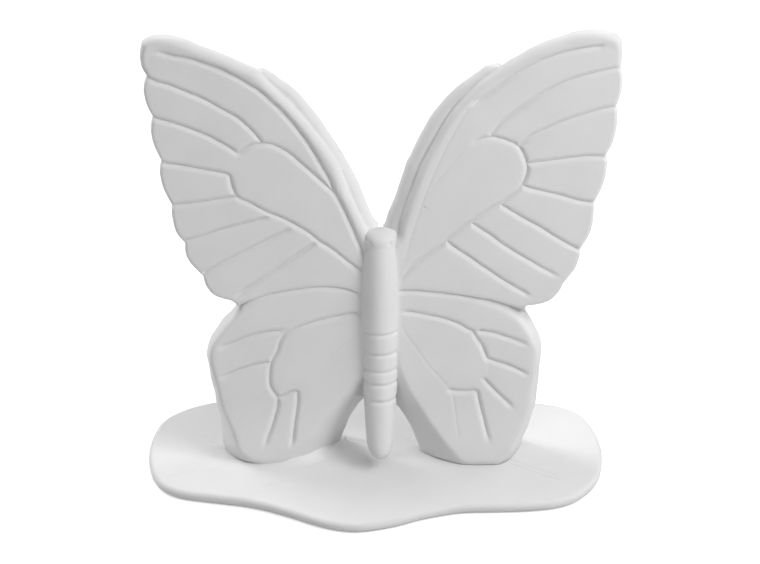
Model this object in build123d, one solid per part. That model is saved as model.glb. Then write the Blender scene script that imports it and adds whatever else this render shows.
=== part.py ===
from build123d import *
import math
import os

# A butterfly of unglazed white bisque that stands on an irregular slab.
# X runs across the wings, Y from front to back and Z up; the front looks along +Y.

# Overall sizes of the butterfly, in millimetres
half_span = 90.0
wing_rise = 172.0
lean_angle = 8.0

# Forewings
forewing_edge_thickness = 6.4
forewing_root_thickness = 12.5
bead_roundness_share = 0.44
back_slope_share = 0.3

# Hindwings
hindwing_set_back = 0.8
hindwing_top_thickness = 9.0
left_foot_depth = 20.6
right_foot_depth = 18.0

# Body
body_width = 15.5
body_depth = 21.5
body_bulge = 6.0
body_sides = 28
ring_groove_width = 0.9
ring_groove_depth = 0.6

# Veins cut into the front of the wings
vein_width = 1.0
vein_depth = 0.55

# Slab
slab_width = 169.5
slab_depth = 100.5
slab_thickness = 4.0
slab_edge_slope = 0.9

# Joining slip round the feet
slip_reach = 2.4
slip_height = 2.0
slip_feather = 0.3

# One overrun serves every cut that has to leave the clay
overrun = 5.0

# Curves are straight runs joined by arcs, each of which takes up this share of the shorter run.
# A point where an open line turns by fewer degrees than the least turn is passed over.
arc_run_share = 0.46
least_turn = 2.0

LEFT = -1
RIGHT = 1

# Points of the wings are shares: across of the half span, up of the wing rise.
# The leading edge runs from the body, over the tip, to the first notch.
leading_edge_shares = {
    LEFT: [
        (0.0, 0.517), (0.05, 0.545), (0.25, 0.763), (0.39, 0.854), (0.604, 0.936),
        (0.865, 0.992), (0.975, 0.982), (0.998, 0.935), (0.963, 0.891),
    ],
    RIGHT: [
        (0.0, 0.517), (0.06, 0.526), (0.163, 0.688), (0.26, 0.788), (0.446, 0.908),
        (0.708, 0.981), (0.88, 1.004), (0.982, 0.988), (1.008, 0.94), (0.986, 0.912),
    ],
}

# Each scallop of the outer margin is an arc: its crown, then the notch that ends it
scallop_shares = {
    LEFT: [
        ((0.975, 0.852), (0.94, 0.798)), ((0.945, 0.749), (0.904, 0.696)), ((0.906, 0.65), (0.863, 0.596)),
        ((0.856, 0.552), (0.808, 0.508)), ((0.792, 0.466), (0.733, 0.432)), ((0.692, 0.39), (0.592, 0.364)),
    ],
    RIGHT: [
        ((1.002, 0.872), (0.977, 0.824)), ((0.977, 0.766), (0.933, 0.71)), ((0.935, 0.661), (0.892, 0.606)),
        ((0.883, 0.559), (0.833, 0.497)), ((0.817, 0.455), (0.758, 0.413)), ((0.713, 0.378), (0.608, 0.353)),
    ],
}

# The seam where forewing and hindwing meet, from the outer corner to the body
seam_shares = {
    LEFT: [(0.592, 0.364), (0.508, 0.382), (0.396, 0.397), (0.271, 0.407), (0.167, 0.405), (0.0, 0.378)],
    RIGHT: [(0.608, 0.353), (0.521, 0.371), (0.417, 0.379), (0.292, 0.392), (0.125, 0.4), (0.0, 0.387)],
}

# The second rib, behind the bead of the leading edge, from the body to where it ends
rear_rib_shares = {
    LEFT: [(0.0, 0.525), (0.125, 0.662), (0.25, 0.774), (0.375, 0.857), (0.489, 0.899)],
    RIGHT: [(0.0, 0.525), (0.046, 0.573), (0.14, 0.708), (0.25, 0.809), (0.417, 0.897), (0.489, 0.912)],
}

# Outer margin of a hindwing from the seam's corner down past the slab
hindwing_outer_shares = {
    LEFT: [(0.592, 0.364), (0.66, 0.331), (0.71, 0.29), (0.725, 0.249), (0.684, 0.125), (0.645, -0.03)],
    RIGHT: [(0.608, 0.353), (0.646, 0.316), (0.675, 0.265), (0.654, 0.155), (0.633, 0.083), (0.585, -0.03)],
}

# Inner margin of a hindwing from below the slab up to the body
hindwing_inner_shares = {
    LEFT: [(0.165, -0.03), (0.162, 0.017), (0.142, 0.052), (0.105, 0.099), (0.0, 0.13)],
    RIGHT: [(0.168, -0.03), (0.165, 0.01), (0.154, 0.03), (0.117, 0.077), (0.0, 0.13)],
}

# A margin that is turned back is a plane through two places of its front crease and one at the rear.
# Its shares are of the half span, of the wing rise and of the depth of the foot.
inner_bevel_shares = {
    LEFT: [(0.074, 0.211, 0.0), (0.374, 0.026, 0.0), (0.162, 0.017, 1.0)],
    RIGHT: [(0.079, 0.251, 0.0), (0.324, 0.023, 0.0), (0.167, 0.01, 0.667)],
}
outer_bevel_shares = {
    LEFT: [(0.708, 0.234, 0.0), (0.596, 0.026, 0.0), (0.646, 0.01, 0.62)],
    RIGHT: [(0.656, 0.192, 0.0), (0.55, 0.023, 0.0), (0.589, 0.01, 0.667)],
}

# A place well inside a hindwing, which tells the side of a bevel that stays
hindwing_core_share = (0.4, 0.2)

# Rear of a hindwing, as shares of the wing rise and of how much the foot is deeper than the top
foot_flare_shares = [(-0.03, 1.03), (0.03, 0.84), (0.12, 0.45), (0.25, 0.12), (0.42, 0.0)]

# Veins, each a smooth curve through shares
forewing_vein_shares = {
    LEFT: [
        [(0.925, 0.947), (0.667, 0.912), (0.417, 0.82), (0.292, 0.734), (0.125, 0.553), (0.075, 0.49)],
        [(0.95, 0.886), (0.708, 0.835), (0.571, 0.788), (0.492, 0.74)],
        [(0.935, 0.798), (0.667, 0.743), (0.588, 0.716)],
        [(0.588, 0.716), (0.517, 0.742), (0.429, 0.738), (0.333, 0.695), (0.192, 0.626)],
        [(0.9, 0.694), (0.75, 0.68), (0.629, 0.666)],
        [(0.629, 0.666), (0.615, 0.64), (0.592, 0.615)],
        [(0.858, 0.596), (0.729, 0.603), (0.592, 0.615)],
        [(0.592, 0.615), (0.458, 0.578), (0.333, 0.545), (0.208, 0.498), (0.083, 0.445)],
        [(0.804, 0.515), (0.667, 0.538), (0.458, 0.571)],
        [(0.729, 0.441), (0.583, 0.484), (0.367, 0.543)],
        [(0.604, 0.385), (0.479, 0.432), (0.263, 0.513)],
    ],
    RIGHT: [
        [(0.929, 0.963), (0.708, 0.937), (0.542, 0.89), (0.375, 0.829), (0.208, 0.652), (0.104, 0.476)],
        [(0.98, 0.911), (0.75, 0.876), (0.542, 0.806), (0.458, 0.759)],
        [(0.97, 0.823), (0.708, 0.776), (0.571, 0.731)],
        [(0.375, 0.735), (0.458, 0.753), (0.571, 0.732), (0.608, 0.684), (0.583, 0.64)],
        [(0.93, 0.708), (0.771, 0.703), (0.608, 0.691)],
        [(0.888, 0.602), (0.75, 0.618), (0.588, 0.642)],
        [(0.583, 0.64), (0.458, 0.588), (0.333, 0.541), (0.208, 0.487), (0.087, 0.427)],
        [(0.83, 0.492), (0.667, 0.544), (0.504, 0.596)],
        [(0.738, 0.434), (0.562, 0.487), (0.383, 0.553)],
        [(0.625, 0.387), (0.458, 0.443), (0.279, 0.513)],
    ],
}
hindwing_vein_shares = {
    LEFT: [
        [(0.09, 0.346), (0.25, 0.329), (0.375, 0.303), (0.479, 0.302), (0.675, 0.265)],
        [(0.671, 0.196), (0.562, 0.219), (0.458, 0.232)],
        [(0.4, 0.295), (0.45, 0.237), (0.458, 0.193), (0.425, 0.151)],
        [(0.425, 0.148), (0.45, 0.088), (0.483, 0.042)],
        [(0.425, 0.151), (0.388, 0.158), (0.342, 0.164)],
        [(0.342, 0.162), (0.354, 0.1), (0.369, 0.039)],
    ],
    RIGHT: [
        [(0.087, 0.35), (0.25, 0.336), (0.383, 0.305), (0.5, 0.297), (0.617, 0.274)],
        [(0.383, 0.304), (0.438, 0.253), (0.452, 0.22), (0.433, 0.19), (0.4, 0.167)],
        [(0.446, 0.241), (0.542, 0.224), (0.617, 0.203)],
        [(0.433, 0.193), (0.487, 0.162), (0.554, 0.128)],
        [(0.292, 0.169), (0.346, 0.167), (0.4, 0.165)],
        [(0.4, 0.165), (0.429, 0.104), (0.454, 0.053)],
        [(0.3, 0.162), (0.31, 0.118), (0.325, 0.072)],
    ],
}

# Sections of the body from the head to the tail, as shares of the wing rise, of the body's width,
# of its depth, and of how far the middle of its depth lies behind the front of the wings
body_section_shares = [
    (0.546, 0.07, 0.06, 0.5), (0.54, 0.21, 0.19, 0.57), (0.53, 0.3, 0.28, 0.62), (0.51, 0.345, 0.345, 0.75),
    (0.483, 0.45, 0.44, 0.9), (0.45, 0.49, 0.48, 1.0), (0.4, 0.5, 0.49, 1.0), (0.32, 0.495, 0.485, 1.0),
    (0.25, 0.47, 0.455, 1.0), (0.2, 0.44, 0.42, 0.95), (0.135, 0.38, 0.35, 0.8), (0.077, 0.335, 0.29, 0.65),
    (0.033, 0.24, 0.2, 0.5), (0.013, 0.09, 0.08, 0.45),
]
ring_groove_shares = [0.296, 0.252, 0.21, 0.181, 0.142]

# Outline of the slab, as shares of its width and depth from the foot of the wings
slab_outline_shares = [
    (-0.11, 0.524), (-0.37, 0.49), (-0.475, 0.36), (-0.514, 0.11), (-0.508, -0.04), (-0.455, -0.212),
    (-0.343, -0.278), (-0.243, -0.328), (-0.155, -0.424), (-0.062, -0.493), (0.03, -0.448), (0.133, -0.357),
    (0.265, -0.333), (0.392, -0.306), (0.476, -0.172), (0.497, 0.064), (0.47, 0.32), (0.378, 0.474),
    (0.2, 0.512),
]

# The plane of the wings' front faces, which leans back from the foot: X across, Y up, Z to the front
lean = math.radians(lean_angle)
wing_front = Plane(
    origin=(0, 0, slab_thickness),
    x_dir=(1, 0, 0),
    z_dir=(0, -math.cos(lean), math.sin(lean)),
)


def wing_point(share, side):
    """The place of a share pair in the plane of the wings."""
    across, up = share
    return Vector(side * across * half_span, up * wing_rise)


def arc_radius(before, corner, after):
    """The radius of the arc that lets two straight runs flow into each other."""
    arriving = corner - before
    leaving = after - corner
    half_turn = math.radians(arriving.get_angle(leaving) / 2)
    return arc_run_share * min(arriving.length, leaving.length) / math.tan(half_turn)


def bends(points):
    """Both ends of an open line and those of its points at which it turns."""
    kept = points[:1]
    for corner, after in zip(points[1:], points[2:]):
        if (corner - kept[-1]).get_angle(after - corner) >= least_turn:
            kept.append(corner)
    return kept + points[-1:]


def flowing_line(points):
    """An open line of straight runs, joined by arcs."""
    points = bends(points)
    radii = [arc_radius(*corner) for corner in zip(points, points[1:], points[2:])]
    return FilletPolyline(*points, radius=radii) if radii else Line(*points)


def flowing_outline(points):
    """A closed outline of straight runs, joined by arcs."""
    before = points[-1:] + points[:-1]
    after = points[1:] + points[:1]
    radii = [arc_radius(*corner) for corner in zip(before, points, after)]
    return FilletPolyline(*points, radius=radii, close=True)


def wing_curve(shares, side):
    """A flowing line along shares in the plane of the wings."""
    return flowing_line([wing_point(share, side) for share in shares])


def scalloped_margin(side):
    """The outer margin of a forewing: one arc for each scallop, from the tip's notch to the corner."""
    arcs = Curve()
    start = wing_point(leading_edge_shares[side][-1], side)
    for crown, notch in scallop_shares[side]:
        end = wing_point(notch, side)
        arcs += ThreePointArc(start, wing_point(crown, side), end)
        start = end
    return arcs


def slab():
    """The wavy slab, with its upper edge taken off."""
    points = [Vector(across * slab_width, deep * slab_depth) for across, deep in slab_outline_shares]
    blank = extrude(make_face(flowing_outline(points)), slab_thickness)
    upper_edges = blank.faces().sort_by(Axis.Z)[-1].edges()
    return chamfer(upper_edges, slab_edge_slope)


def body_section(section, growth=0):
    """One many-sided section of the body, square to its length and grown all round by an amount."""
    up, wide, deep, back = section
    middle = body_depth / 2 - body_bulge
    level = Plane(origin=(0, up * wing_rise, -back * middle), x_dir=(1, 0, 0), z_dir=(0, 1, 0))
    corners = []
    for number in range(body_sides):
        angle = math.tau * number / body_sides
        across = (wide * body_width + growth) * math.cos(angle)
        behind = (deep * body_depth + growth) * math.sin(angle)
        corners.append((across, behind))
    return level * make_face(Polyline(*corners, close=True))


def body_hull():
    """The body without its rings."""
    return loft([body_section(section) for section in body_section_shares], ruled=True)


def section_at(up):
    """The section of the body at a height between two of those that are given."""
    for above, below in zip(body_section_shares, body_section_shares[1:]):
        if above[0] >= up >= below[0]:
            share = (above[0] - up) / (above[0] - below[0])
            return [start + share * (end - start) for start, end in zip(above, below)]


def ringed_body():
    """The body with a groove cut round it at each ring."""
    ringed = body_hull()
    for up in ring_groove_shares:
        section = section_at(up)
        band = body_section(section, overrun) - body_section(section, -ring_groove_depth)
        ringed -= extrude(band, ring_groove_width / 2, both=True)
    return ringed


def veins(vein_lists, side, face_depth):
    """Grooves along the veins, to be cut from a front face that lies at a given depth."""
    cutter = Part()
    for shares in vein_lists:
        strip = trace(wing_curve(shares, side), vein_width)
        cutter += Pos(0, 0, -face_depth) * extrude(strip, vein_depth, both=True)
    return cutter


def edges_along(leaf, curve, depth):
    """The edges of a leaf that lie behind a curve at a given depth."""
    return [leaf.edges().sort_by_distance(run.center() - Vector(0, 0, depth))[0] for run in curve.edges()]


def forewing(side):
    """A forewing: the front leaf, the leaf of its second rib, and the veins."""
    leading = wing_curve(leading_edge_shares[side], side)
    margin = scalloped_margin(side)
    seam = wing_curve(seam_shares[side], side)
    closing = Line(seam @ 1, leading @ 0)
    outline = make_face([*leading.edges(), *margin.edges(), *seam.edges(), closing])
    front_leaf = extrude(outline, -forewing_edge_thickness)
    bead_edges = edges_along(front_leaf, leading, 0)
    front_leaf = fillet(bead_edges, forewing_edge_thickness * bead_roundness_share)
    back_edges = edges_along(front_leaf, leading, forewing_edge_thickness)
    front_leaf = chamfer(back_edges, forewing_edge_thickness * back_slope_share)
    wing = front_leaf + rear_leaf(side, seam) - below_seam(side)
    own_half = Keep.TOP if side == RIGHT else Keep.BOTTOM
    wing = split(wing, bisect_by=Plane.YZ, keep=own_half)
    return wing - veins(forewing_vein_shares[side], side, 0)


def rear_leaf(side, seam):
    """The leaf behind a forewing, splayed so that it runs out where the second rib ends."""
    rib = wing_curve(rear_rib_shares[side], side)
    rib_end = rib @ 1
    foot = Vector(rib_end.X, (seam @ 0).Y)
    middle_foot = Vector(0, (seam @ 1).Y)
    straights = Polyline(rib_end, foot, middle_foot, rib @ 0)
    outline = make_face([*rib.edges(), *straights.edges()])
    extra = forewing_root_thickness - forewing_edge_thickness
    leaf = extrude(outline, -extra)
    rib_edges = edges_along(leaf, rib, 0) + edges_along(leaf, rib, extra)
    leaf = chamfer(rib_edges, extra * back_slope_share)
    splay = -math.degrees(math.atan(extra / rib_end.X))
    hinge = Vector(rib_end.X, 0, -forewing_edge_thickness)
    behind_front = Pos(0, 0, extra - forewing_edge_thickness)
    return Pos(hinge) * Rot(0, splay, 0) * Pos(-hinge) * behind_front * leaf


def below_seam(side):
    """Everything under the seam, to trim a forewing where its hindwing joins."""
    seam = wing_curve(seam_shares[side], side)
    corner = seam @ 0
    middle = seam @ 1
    low_corner = Vector(corner.X, 0)
    straights = Polyline(middle, Vector(0, 0), low_corner, corner)
    face = make_face([*seam.edges(), *straights.edges()])
    return extrude(face, -(forewing_root_thickness + overrun)) + extrude(face, overrun)


def bevel_plane(shares, side, foot_depth):
    """The plane of a turned-back margin, whose normal points out of the wing."""
    places = []
    for across, up, deep in shares:
        depth = hindwing_set_back + deep * foot_depth
        places.append(Vector(side * across * half_span, up * wing_rise, -depth))
    high, low, rear = places
    normal = (high - low).cross(rear - low)
    return Plane(origin=low, z_dir=normal)


def hindwing(side, foot_depth):
    """A hindwing: a blank with a flared foot, bevelled margins and veins."""
    seam = wing_curve(seam_shares[side], side)
    outer = wing_curve(hindwing_outer_shares[side], side)
    inner = wing_curve(hindwing_inner_shares[side], side)
    bottom = Line(outer @ 1, inner @ 0)
    middle = Line(inner @ 1, seam @ 1)
    face = make_face([*seam.edges(), *outer.edges(), bottom, *inner.edges(), middle])
    blank = Pos(0, 0, -hindwing_set_back) * extrude(face, -(foot_depth + overrun))
    blank -= foot_relief(foot_depth)
    core = wing_point(hindwing_core_share, side) - Vector(0, 0, hindwing_top_thickness / 2)
    for shares in (inner_bevel_shares[side], outer_bevel_shares[side]):
        bevel = bevel_plane(shares, side, foot_depth)
        keep = Keep.TOP if bevel.to_local_coords(core).Z > 0 else Keep.BOTTOM
        blank = split(blank, bisect_by=bevel, keep=keep)
    return blank - veins(hindwing_vein_shares[side], side, hindwing_set_back)


def foot_relief(foot_depth):
    """What is left away behind a hindwing, so that it grows deeper towards its foot."""
    extra = foot_depth - hindwing_top_thickness
    side_view = Plane(origin=(-half_span, 0, 0), x_dir=(0, 1, 0), z_dir=(1, 0, 0))
    points = []
    for up, deep in foot_flare_shares:
        points.append(Vector(up * wing_rise, -hindwing_set_back - hindwing_top_thickness - deep * extra))
    flare = flowing_line(points)
    far = -foot_depth - overrun * 2
    straights = Polyline(points[-1], Vector(points[-1].X, far), Vector(points[0].X, far), points[0])
    face = make_face([*flare.edges(), *straights.edges()])
    return extrude(side_view * face, half_span * 2)


def foot_slip(wing):
    """A skirt of joining slip round a foot, on the slab."""
    sole = wing.faces().sort_by(Axis.Z)[0]
    corners = [edge @ 0 for edge in sole.outer_wire().order_edges()]
    footprint = make_face(Polyline(*corners, close=True))
    on_slab = offset(footprint, slip_reach, kind=Kind.INTERSECTION)
    on_wing = Pos(0, 0, slip_height) * offset(footprint, slip_feather, kind=Kind.INTERSECTION)
    return loft([on_slab, on_wing], ruled=True) - wing


def build():
    """All pieces by name, in the frame whose origin is the middle of the slab's underside."""
    slab_top = Plane.XY.offset(slab_thickness)
    hull = wing_front * body_hull()
    pieces = {"base_slab": slab(), "body": wing_front * ringed_body()}
    feet = {LEFT: left_foot_depth, RIGHT: right_foot_depth}
    for side, word in ((LEFT, "left"), (RIGHT, "right")):
        upper = wing_front * forewing(side)
        lower = split(wing_front * hindwing(side, feet[side]), bisect_by=slab_top, keep=Keep.TOP)
        pieces[f"{word}_forewing"] = upper - hull
        pieces[f"{word}_hindwing"] = lower - hull
        pieces[f"{word}_foot_slip"] = foot_slip(pieces[f"{word}_hindwing"])
    return pieces


def main():
    """Build the pieces, centre them over the origin and write one file for each."""
    os.makedirs("parts", exist_ok=True)
    pieces = build()
    box = Compound(children=[Compound(piece.wrapped) for piece in pieces.values()]).bounding_box()
    to_origin = Pos(-box.center().X, -box.center().Y, -box.min.Z)
    for name, piece in pieces.items():
        export_step(to_origin * piece, f"parts/{name}.step")


main()
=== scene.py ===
"""Looks of a butterfly ornament of unglazed white bisque that stands on an irregular slab."""

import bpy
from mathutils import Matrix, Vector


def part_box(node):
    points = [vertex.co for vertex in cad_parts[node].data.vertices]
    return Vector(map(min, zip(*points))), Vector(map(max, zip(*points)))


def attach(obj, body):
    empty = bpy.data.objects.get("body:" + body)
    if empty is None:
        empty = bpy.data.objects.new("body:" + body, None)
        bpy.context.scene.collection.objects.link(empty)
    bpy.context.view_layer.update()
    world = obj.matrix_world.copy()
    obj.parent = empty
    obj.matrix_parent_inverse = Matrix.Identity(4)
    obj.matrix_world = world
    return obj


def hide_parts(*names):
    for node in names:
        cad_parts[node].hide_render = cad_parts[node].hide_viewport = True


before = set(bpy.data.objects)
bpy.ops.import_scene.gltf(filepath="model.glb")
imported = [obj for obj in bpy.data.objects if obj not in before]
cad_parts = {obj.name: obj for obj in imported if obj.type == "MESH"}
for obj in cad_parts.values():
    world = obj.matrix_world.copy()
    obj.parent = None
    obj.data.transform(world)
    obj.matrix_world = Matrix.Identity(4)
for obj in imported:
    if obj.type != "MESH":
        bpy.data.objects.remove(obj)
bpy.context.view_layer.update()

import logging
import math
from dataclasses import dataclass, field
from enum import Enum
from typing import Callable

import bmesh
import bpy
import numpy as np
from mathutils import Vector
from mathutils.geometry import delaunay_2d_cdt

MM = 0.001
TINY = 1e-12
LOG = logging.getLogger("butterfly")
Points = list[tuple[float, float]]
DeepPoints = list[tuple[float, float, float]]
Faces = list[tuple[int, ...]]
Height = Callable[[np.ndarray], np.ndarray]


class Side(Enum):
    """The wings at either side of the body, as the front shows them."""

    LEFT = -1
    RIGHT = 1

    @property
    def word(self) -> str:
        """The side's name in the names of pieces."""
        return self.name.lower()


class Rim(Enum):
    """How the rim of a leaf is rounded over, in millimetres."""

    BEAD = 3.1
    TIP = 2.0
    MARGIN = 1.2
    OUTER = 0.9
    INNER = 0.7
    CREASE = 0.6
    HIDDEN = 0.3
    SLIP = 0.02


# The drawing of the ornament


@dataclass(frozen=True)
class Drawing:
    """The grid on which the outlines are laid out: columns run right, rows run down.

    The ornament is drawn as it is seen from a little above, so that a row stands for a height
    on the leaning wings and for a distance from the feet on the slab.
    Attributes:
        middle: The column of the body's middle.
        foot: The row in which the wings meet the slab.
        across: Columns for a millimetre across.
        rise: Rows for a millimetre up the wings.
        recede: Rows for a millimetre behind the front of the wings.
        deep: Rows for a millimetre back on the slab.
        underside_drop: Rows by which the slab's underside is lower than its top.
    """

    middle: float = 380.0
    foot: float = 463.0
    across: float = 2.667
    rise: float = 2.506
    recede: float = 0.912
    deep: float = 1.252
    underside_drop: float = 9.4

    def on_wing(self, points: Points, depth: float = 0.0) -> np.ndarray:
        """Turn grid points into places on the wings.

        Args:
            points: Columns and rows of the drawing.
            depth: How far the places lie behind the front of the wings, in millimetres.

        Returns:
            Millimetres across and up the plane of the wings, one row for each point.
        """
        grid = np.asarray(points, float)
        up = (self.foot - grid[:, 1] - self.recede * depth) / self.rise
        return np.stack([(grid[:, 0] - self.middle) / self.across, up], 1)

    def on_slab(self, points: Points, drop: float = 0.0) -> np.ndarray:
        """Turn grid points into places on the slab.

        Args:
            points: Columns and rows of the drawing.
            drop: Rows by which the places lie lower because they are under the slab's top.

        Returns:
            Millimetres across and back from the feet, one row for each point.
        """
        grid = np.asarray(points, float)
        back = (self.foot + drop - grid[:, 1]) / self.deep
        return np.stack([(grid[:, 0] - self.middle) / self.across, back], 1)


DRAWING = Drawing()


@dataclass(frozen=True)
class WingSpace:
    """The leaning plane in which the wings are shaped: across, up and to the front.

    Attributes:
        middle: Where the body's middle is, in metres from the left to the right.
        foot: Where the front of the wings meets the slab, in metres to the back.
        floor: The height of the slab's top, in metres.
        lean: How far the wings lean back.
    """

    middle: float
    foot: float
    floor: float
    lean: float = math.radians(8.0)

    def to_world(self, places: np.ndarray) -> np.ndarray:
        """Place points of the wings in the room.

        Args:
            places: Millimetres across, up and to the front, one row for each point.

        Returns:
            The same points in metres in the frame of the part.
        """
        across, up, front = places[:, 0], places[:, 1], places[:, 2]
        sine, cosine = math.sin(self.lean), math.cos(self.lean)
        world = np.stack([across, up * sine - front * cosine, up * cosine + front * sine], 1) * MM
        return world + np.array([self.middle, self.foot, self.floor])

    def to_slab(self, places: np.ndarray) -> np.ndarray:
        """Place points of the slab in the room."""
        return places * MM + np.array([self.middle, self.foot, self.floor])


def find_wing_space() -> WingSpace:
    """Find the plane of the wings from the boxes of the nodes.

    Returns:
        The plane, whose foot is the front of the wings at the slab's top.
    """
    hindwing_set_back = 0.8
    body_low, body_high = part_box("body")
    wing_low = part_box("left_hindwing")[0]
    slab_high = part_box("base_slab")[1]
    foot = wing_low.y - hindwing_set_back * MM / math.cos(WingSpace.lean)
    return WingSpace((body_low.x + body_high.x) / 2, foot, slab_high.z)


# Lines and distances


def even(points: np.ndarray, spacing: float) -> np.ndarray:
    """Space the points of a line evenly.

    Args:
        points: The line.
        spacing: The distance wanted between points.

    Returns:
        A line with the same ends whose points are that far apart.
    """
    steps = np.linalg.norm(np.diff(points, axis=0), axis=1)
    run = np.concatenate([[0.0], np.cumsum(steps)])
    count = max(int(round(run[-1] / spacing)), 1)
    at = np.linspace(0.0, run[-1], count + 1)
    return np.stack([np.interp(at, run, points[:, axis]) for axis in range(points.shape[1])], 1)


def flowing(points: np.ndarray, spacing: float = 0.4) -> np.ndarray:
    """Draw a smooth line through points.

    Args:
        points: Places that the line passes through, in order.
        spacing: The distance between the points of the line.

    Returns:
        The line, evenly spaced.
    """
    points = np.asarray(points, float)
    if len(points) < 3:
        return even(points, spacing)
    ends = np.vstack([2 * points[0] - points[1], points, 2 * points[-1] - points[-2]])
    knots = np.concatenate([[0.0], np.cumsum(np.linalg.norm(np.diff(ends, axis=0), axis=1) ** 0.5)])
    per_run = 16
    parts = []
    for first in range(len(points) - 1):
        a, b, c, d = ends[first : first + 4]
        ka, kb, kc, kd = knots[first : first + 4]
        at = np.linspace(kb, kc, per_run, endpoint=False)[:, None]
        ab = ((kb - at) * a + (at - ka) * b) / (kb - ka)
        bc = ((kc - at) * b + (at - kb) * c) / (kc - kb)
        cd = ((kd - at) * c + (at - kc) * d) / (kd - kc)
        abc = ((kc - at) * ab + (at - ka) * bc) / (kc - ka)
        bcd = ((kd - at) * bc + (at - kb) * cd) / (kd - kb)
        parts.append(((kc - at) * abc + (at - kb) * bcd) / (kc - kb))
    return even(np.vstack([*parts, points[-1:]]), spacing)


def normals(line: np.ndarray) -> np.ndarray:
    """Find the unit normals to the left of a line.

    Args:
        line: The line's points.

    Returns:
        The normal at each point.
    """
    along = np.gradient(line, axis=0)
    along /= np.linalg.norm(along, axis=1)[:, None] + TINY
    return np.stack([-along[:, 1], along[:, 0]], 1)


@dataclass
class Measure:
    """Measures how far places lie from a line.

    Attributes:
        line: The line's points.
        closed: Whether the last point joins the first.
    """

    line: np.ndarray
    closed: bool = False

    def __call__(self, places: np.ndarray) -> tuple[np.ndarray, np.ndarray, np.ndarray]:
        """Measure places.

        Args:
            places: Two coordinates for each place.

        Returns:
            The distance of each place, the line point nearest to it, and 1 or -1 for left or right.
        """
        line = np.vstack([self.line, self.line[:1]]) if self.closed else self.line
        starts, runs = line[:-1], np.diff(line, axis=0)
        lengths = (runs**2).sum(1) + TINY
        distance = np.empty(len(places))
        nearest = np.empty(len(places), int)
        side = np.empty(len(places))
        chunk = 4000
        for low in range(0, len(places), chunk):
            spot = places[low : low + chunk]
            rough = ((spot[:, None, :] - starts[None]) ** 2).sum(2)
            best = rough.argmin(1)
            tries = []
            for shift in (-1, 0):
                index = best + shift
                index = index % len(starts) if self.closed else np.clip(index, 0, len(starts) - 1)
                share = np.clip(((spot - starts[index]) * runs[index]).sum(1) / lengths[index], 0, 1)
                gap = spot - starts[index] - share[:, None] * runs[index]
                turn = runs[index, 0] * gap[:, 1] - runs[index, 1] * gap[:, 0]
                tries.append((np.hypot(gap[:, 0], gap[:, 1]), np.sign(turn)))
            closer = tries[0][0] < tries[1][0]
            rows = slice(low, low + len(spot))
            distance[rows] = np.where(closer, tries[0][0], tries[1][0])
            side[rows] = np.where(closer, tries[0][1], tries[1][1])
            nearest[rows] = best
        return distance, nearest, side


def inside(outline: np.ndarray, places: np.ndarray) -> np.ndarray:
    """Tell which places lie inside a closed outline.

    Args:
        outline: The outline's points, in order.
        places: The places to test.

    Returns:
        True or False for each place.
    """
    found = np.zeros(len(places), bool)
    after = np.roll(outline, -1, 0)
    for (x0, y0), (x1, y1) in zip(outline, after):
        if y0 == y1:
            continue
        crosses = (y0 > places[:, 1]) != (y1 > places[:, 1])
        found ^= crosses & (places[:, 0] < (x1 - x0) * (places[:, 1] - y0) / (y1 - y0) + x0)
    return found


def eased(values: np.ndarray) -> np.ndarray:
    """Ease values from 0 to 1 in and out."""
    share = np.clip(values, 0.0, 1.0)
    return share * share * (3 - 2 * share)


def soft_ramp(values: np.ndarray, softness: float) -> np.ndarray:
    """Zero below nought and the value itself above, with a soft bend between."""
    return (values + np.sqrt(values**2 + softness**2)) / 2


# Meshes


def mesh_object(name: str, places: np.ndarray, faces: Faces) -> bpy.types.Object:
    """Make an object of places and faces.

    Args:
        name: The object's name.
        places: The vertices, in metres.
        faces: The vertex numbers of each face.

    Returns:
        The object, linked to the scene, with smooth shading.
    """
    mesh = bpy.data.meshes.new(name)
    mesh.from_pydata([tuple(place) for place in places], [], faces)
    mesh.polygons.foreach_set("use_smooth", [True] * len(mesh.polygons))
    mesh.update()
    thing = bpy.data.objects.new(name, mesh)
    bpy.context.scene.collection.objects.link(thing)
    return thing


def line_object(name: str, lines: list[np.ndarray]) -> bpy.types.Object:
    """Make an object of loose lines.

    Args:
        name: The object's name.
        lines: Each line's points, in metres.

    Returns:
        The object, linked to the scene.
    """
    places, edges = [], []
    for line in lines:
        first = len(places)
        places += [tuple(place) for place in line]
        edges += [(first + step, first + step + 1) for step in range(len(line) - 1)]
    mesh = bpy.data.meshes.new(name)
    mesh.from_pydata(places, edges, [])
    thing = bpy.data.objects.new(name, mesh)
    bpy.context.scene.collection.objects.link(thing)
    return thing


def discard(thing: bpy.types.Object) -> None:
    """Remove an object together with its mesh."""
    mesh = thing.data
    bpy.data.objects.remove(thing)
    bpy.data.meshes.remove(mesh)


def settle(thing: bpy.types.Object) -> bpy.types.Object:
    """Turn an object's live modifiers into a plain mesh and point its faces outwards.

    Args:
        thing: The object to settle.

    Returns:
        The same object.
    """
    bpy.context.view_layer.update()
    evaluated = thing.evaluated_get(bpy.context.evaluated_depsgraph_get())
    mesh = bpy.data.meshes.new_from_object(evaluated)
    thing.modifiers.clear()
    old = thing.data
    thing.data = mesh
    bpy.data.meshes.remove(old)
    shell = bmesh.new()
    shell.from_mesh(mesh)
    bmesh.ops.recalc_face_normals(shell, faces=shell.faces)
    shell.to_mesh(mesh)
    shell.free()
    mesh.name = thing.name
    mesh.polygons.foreach_set("use_smooth", [True] * len(mesh.polygons))
    return thing


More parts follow.
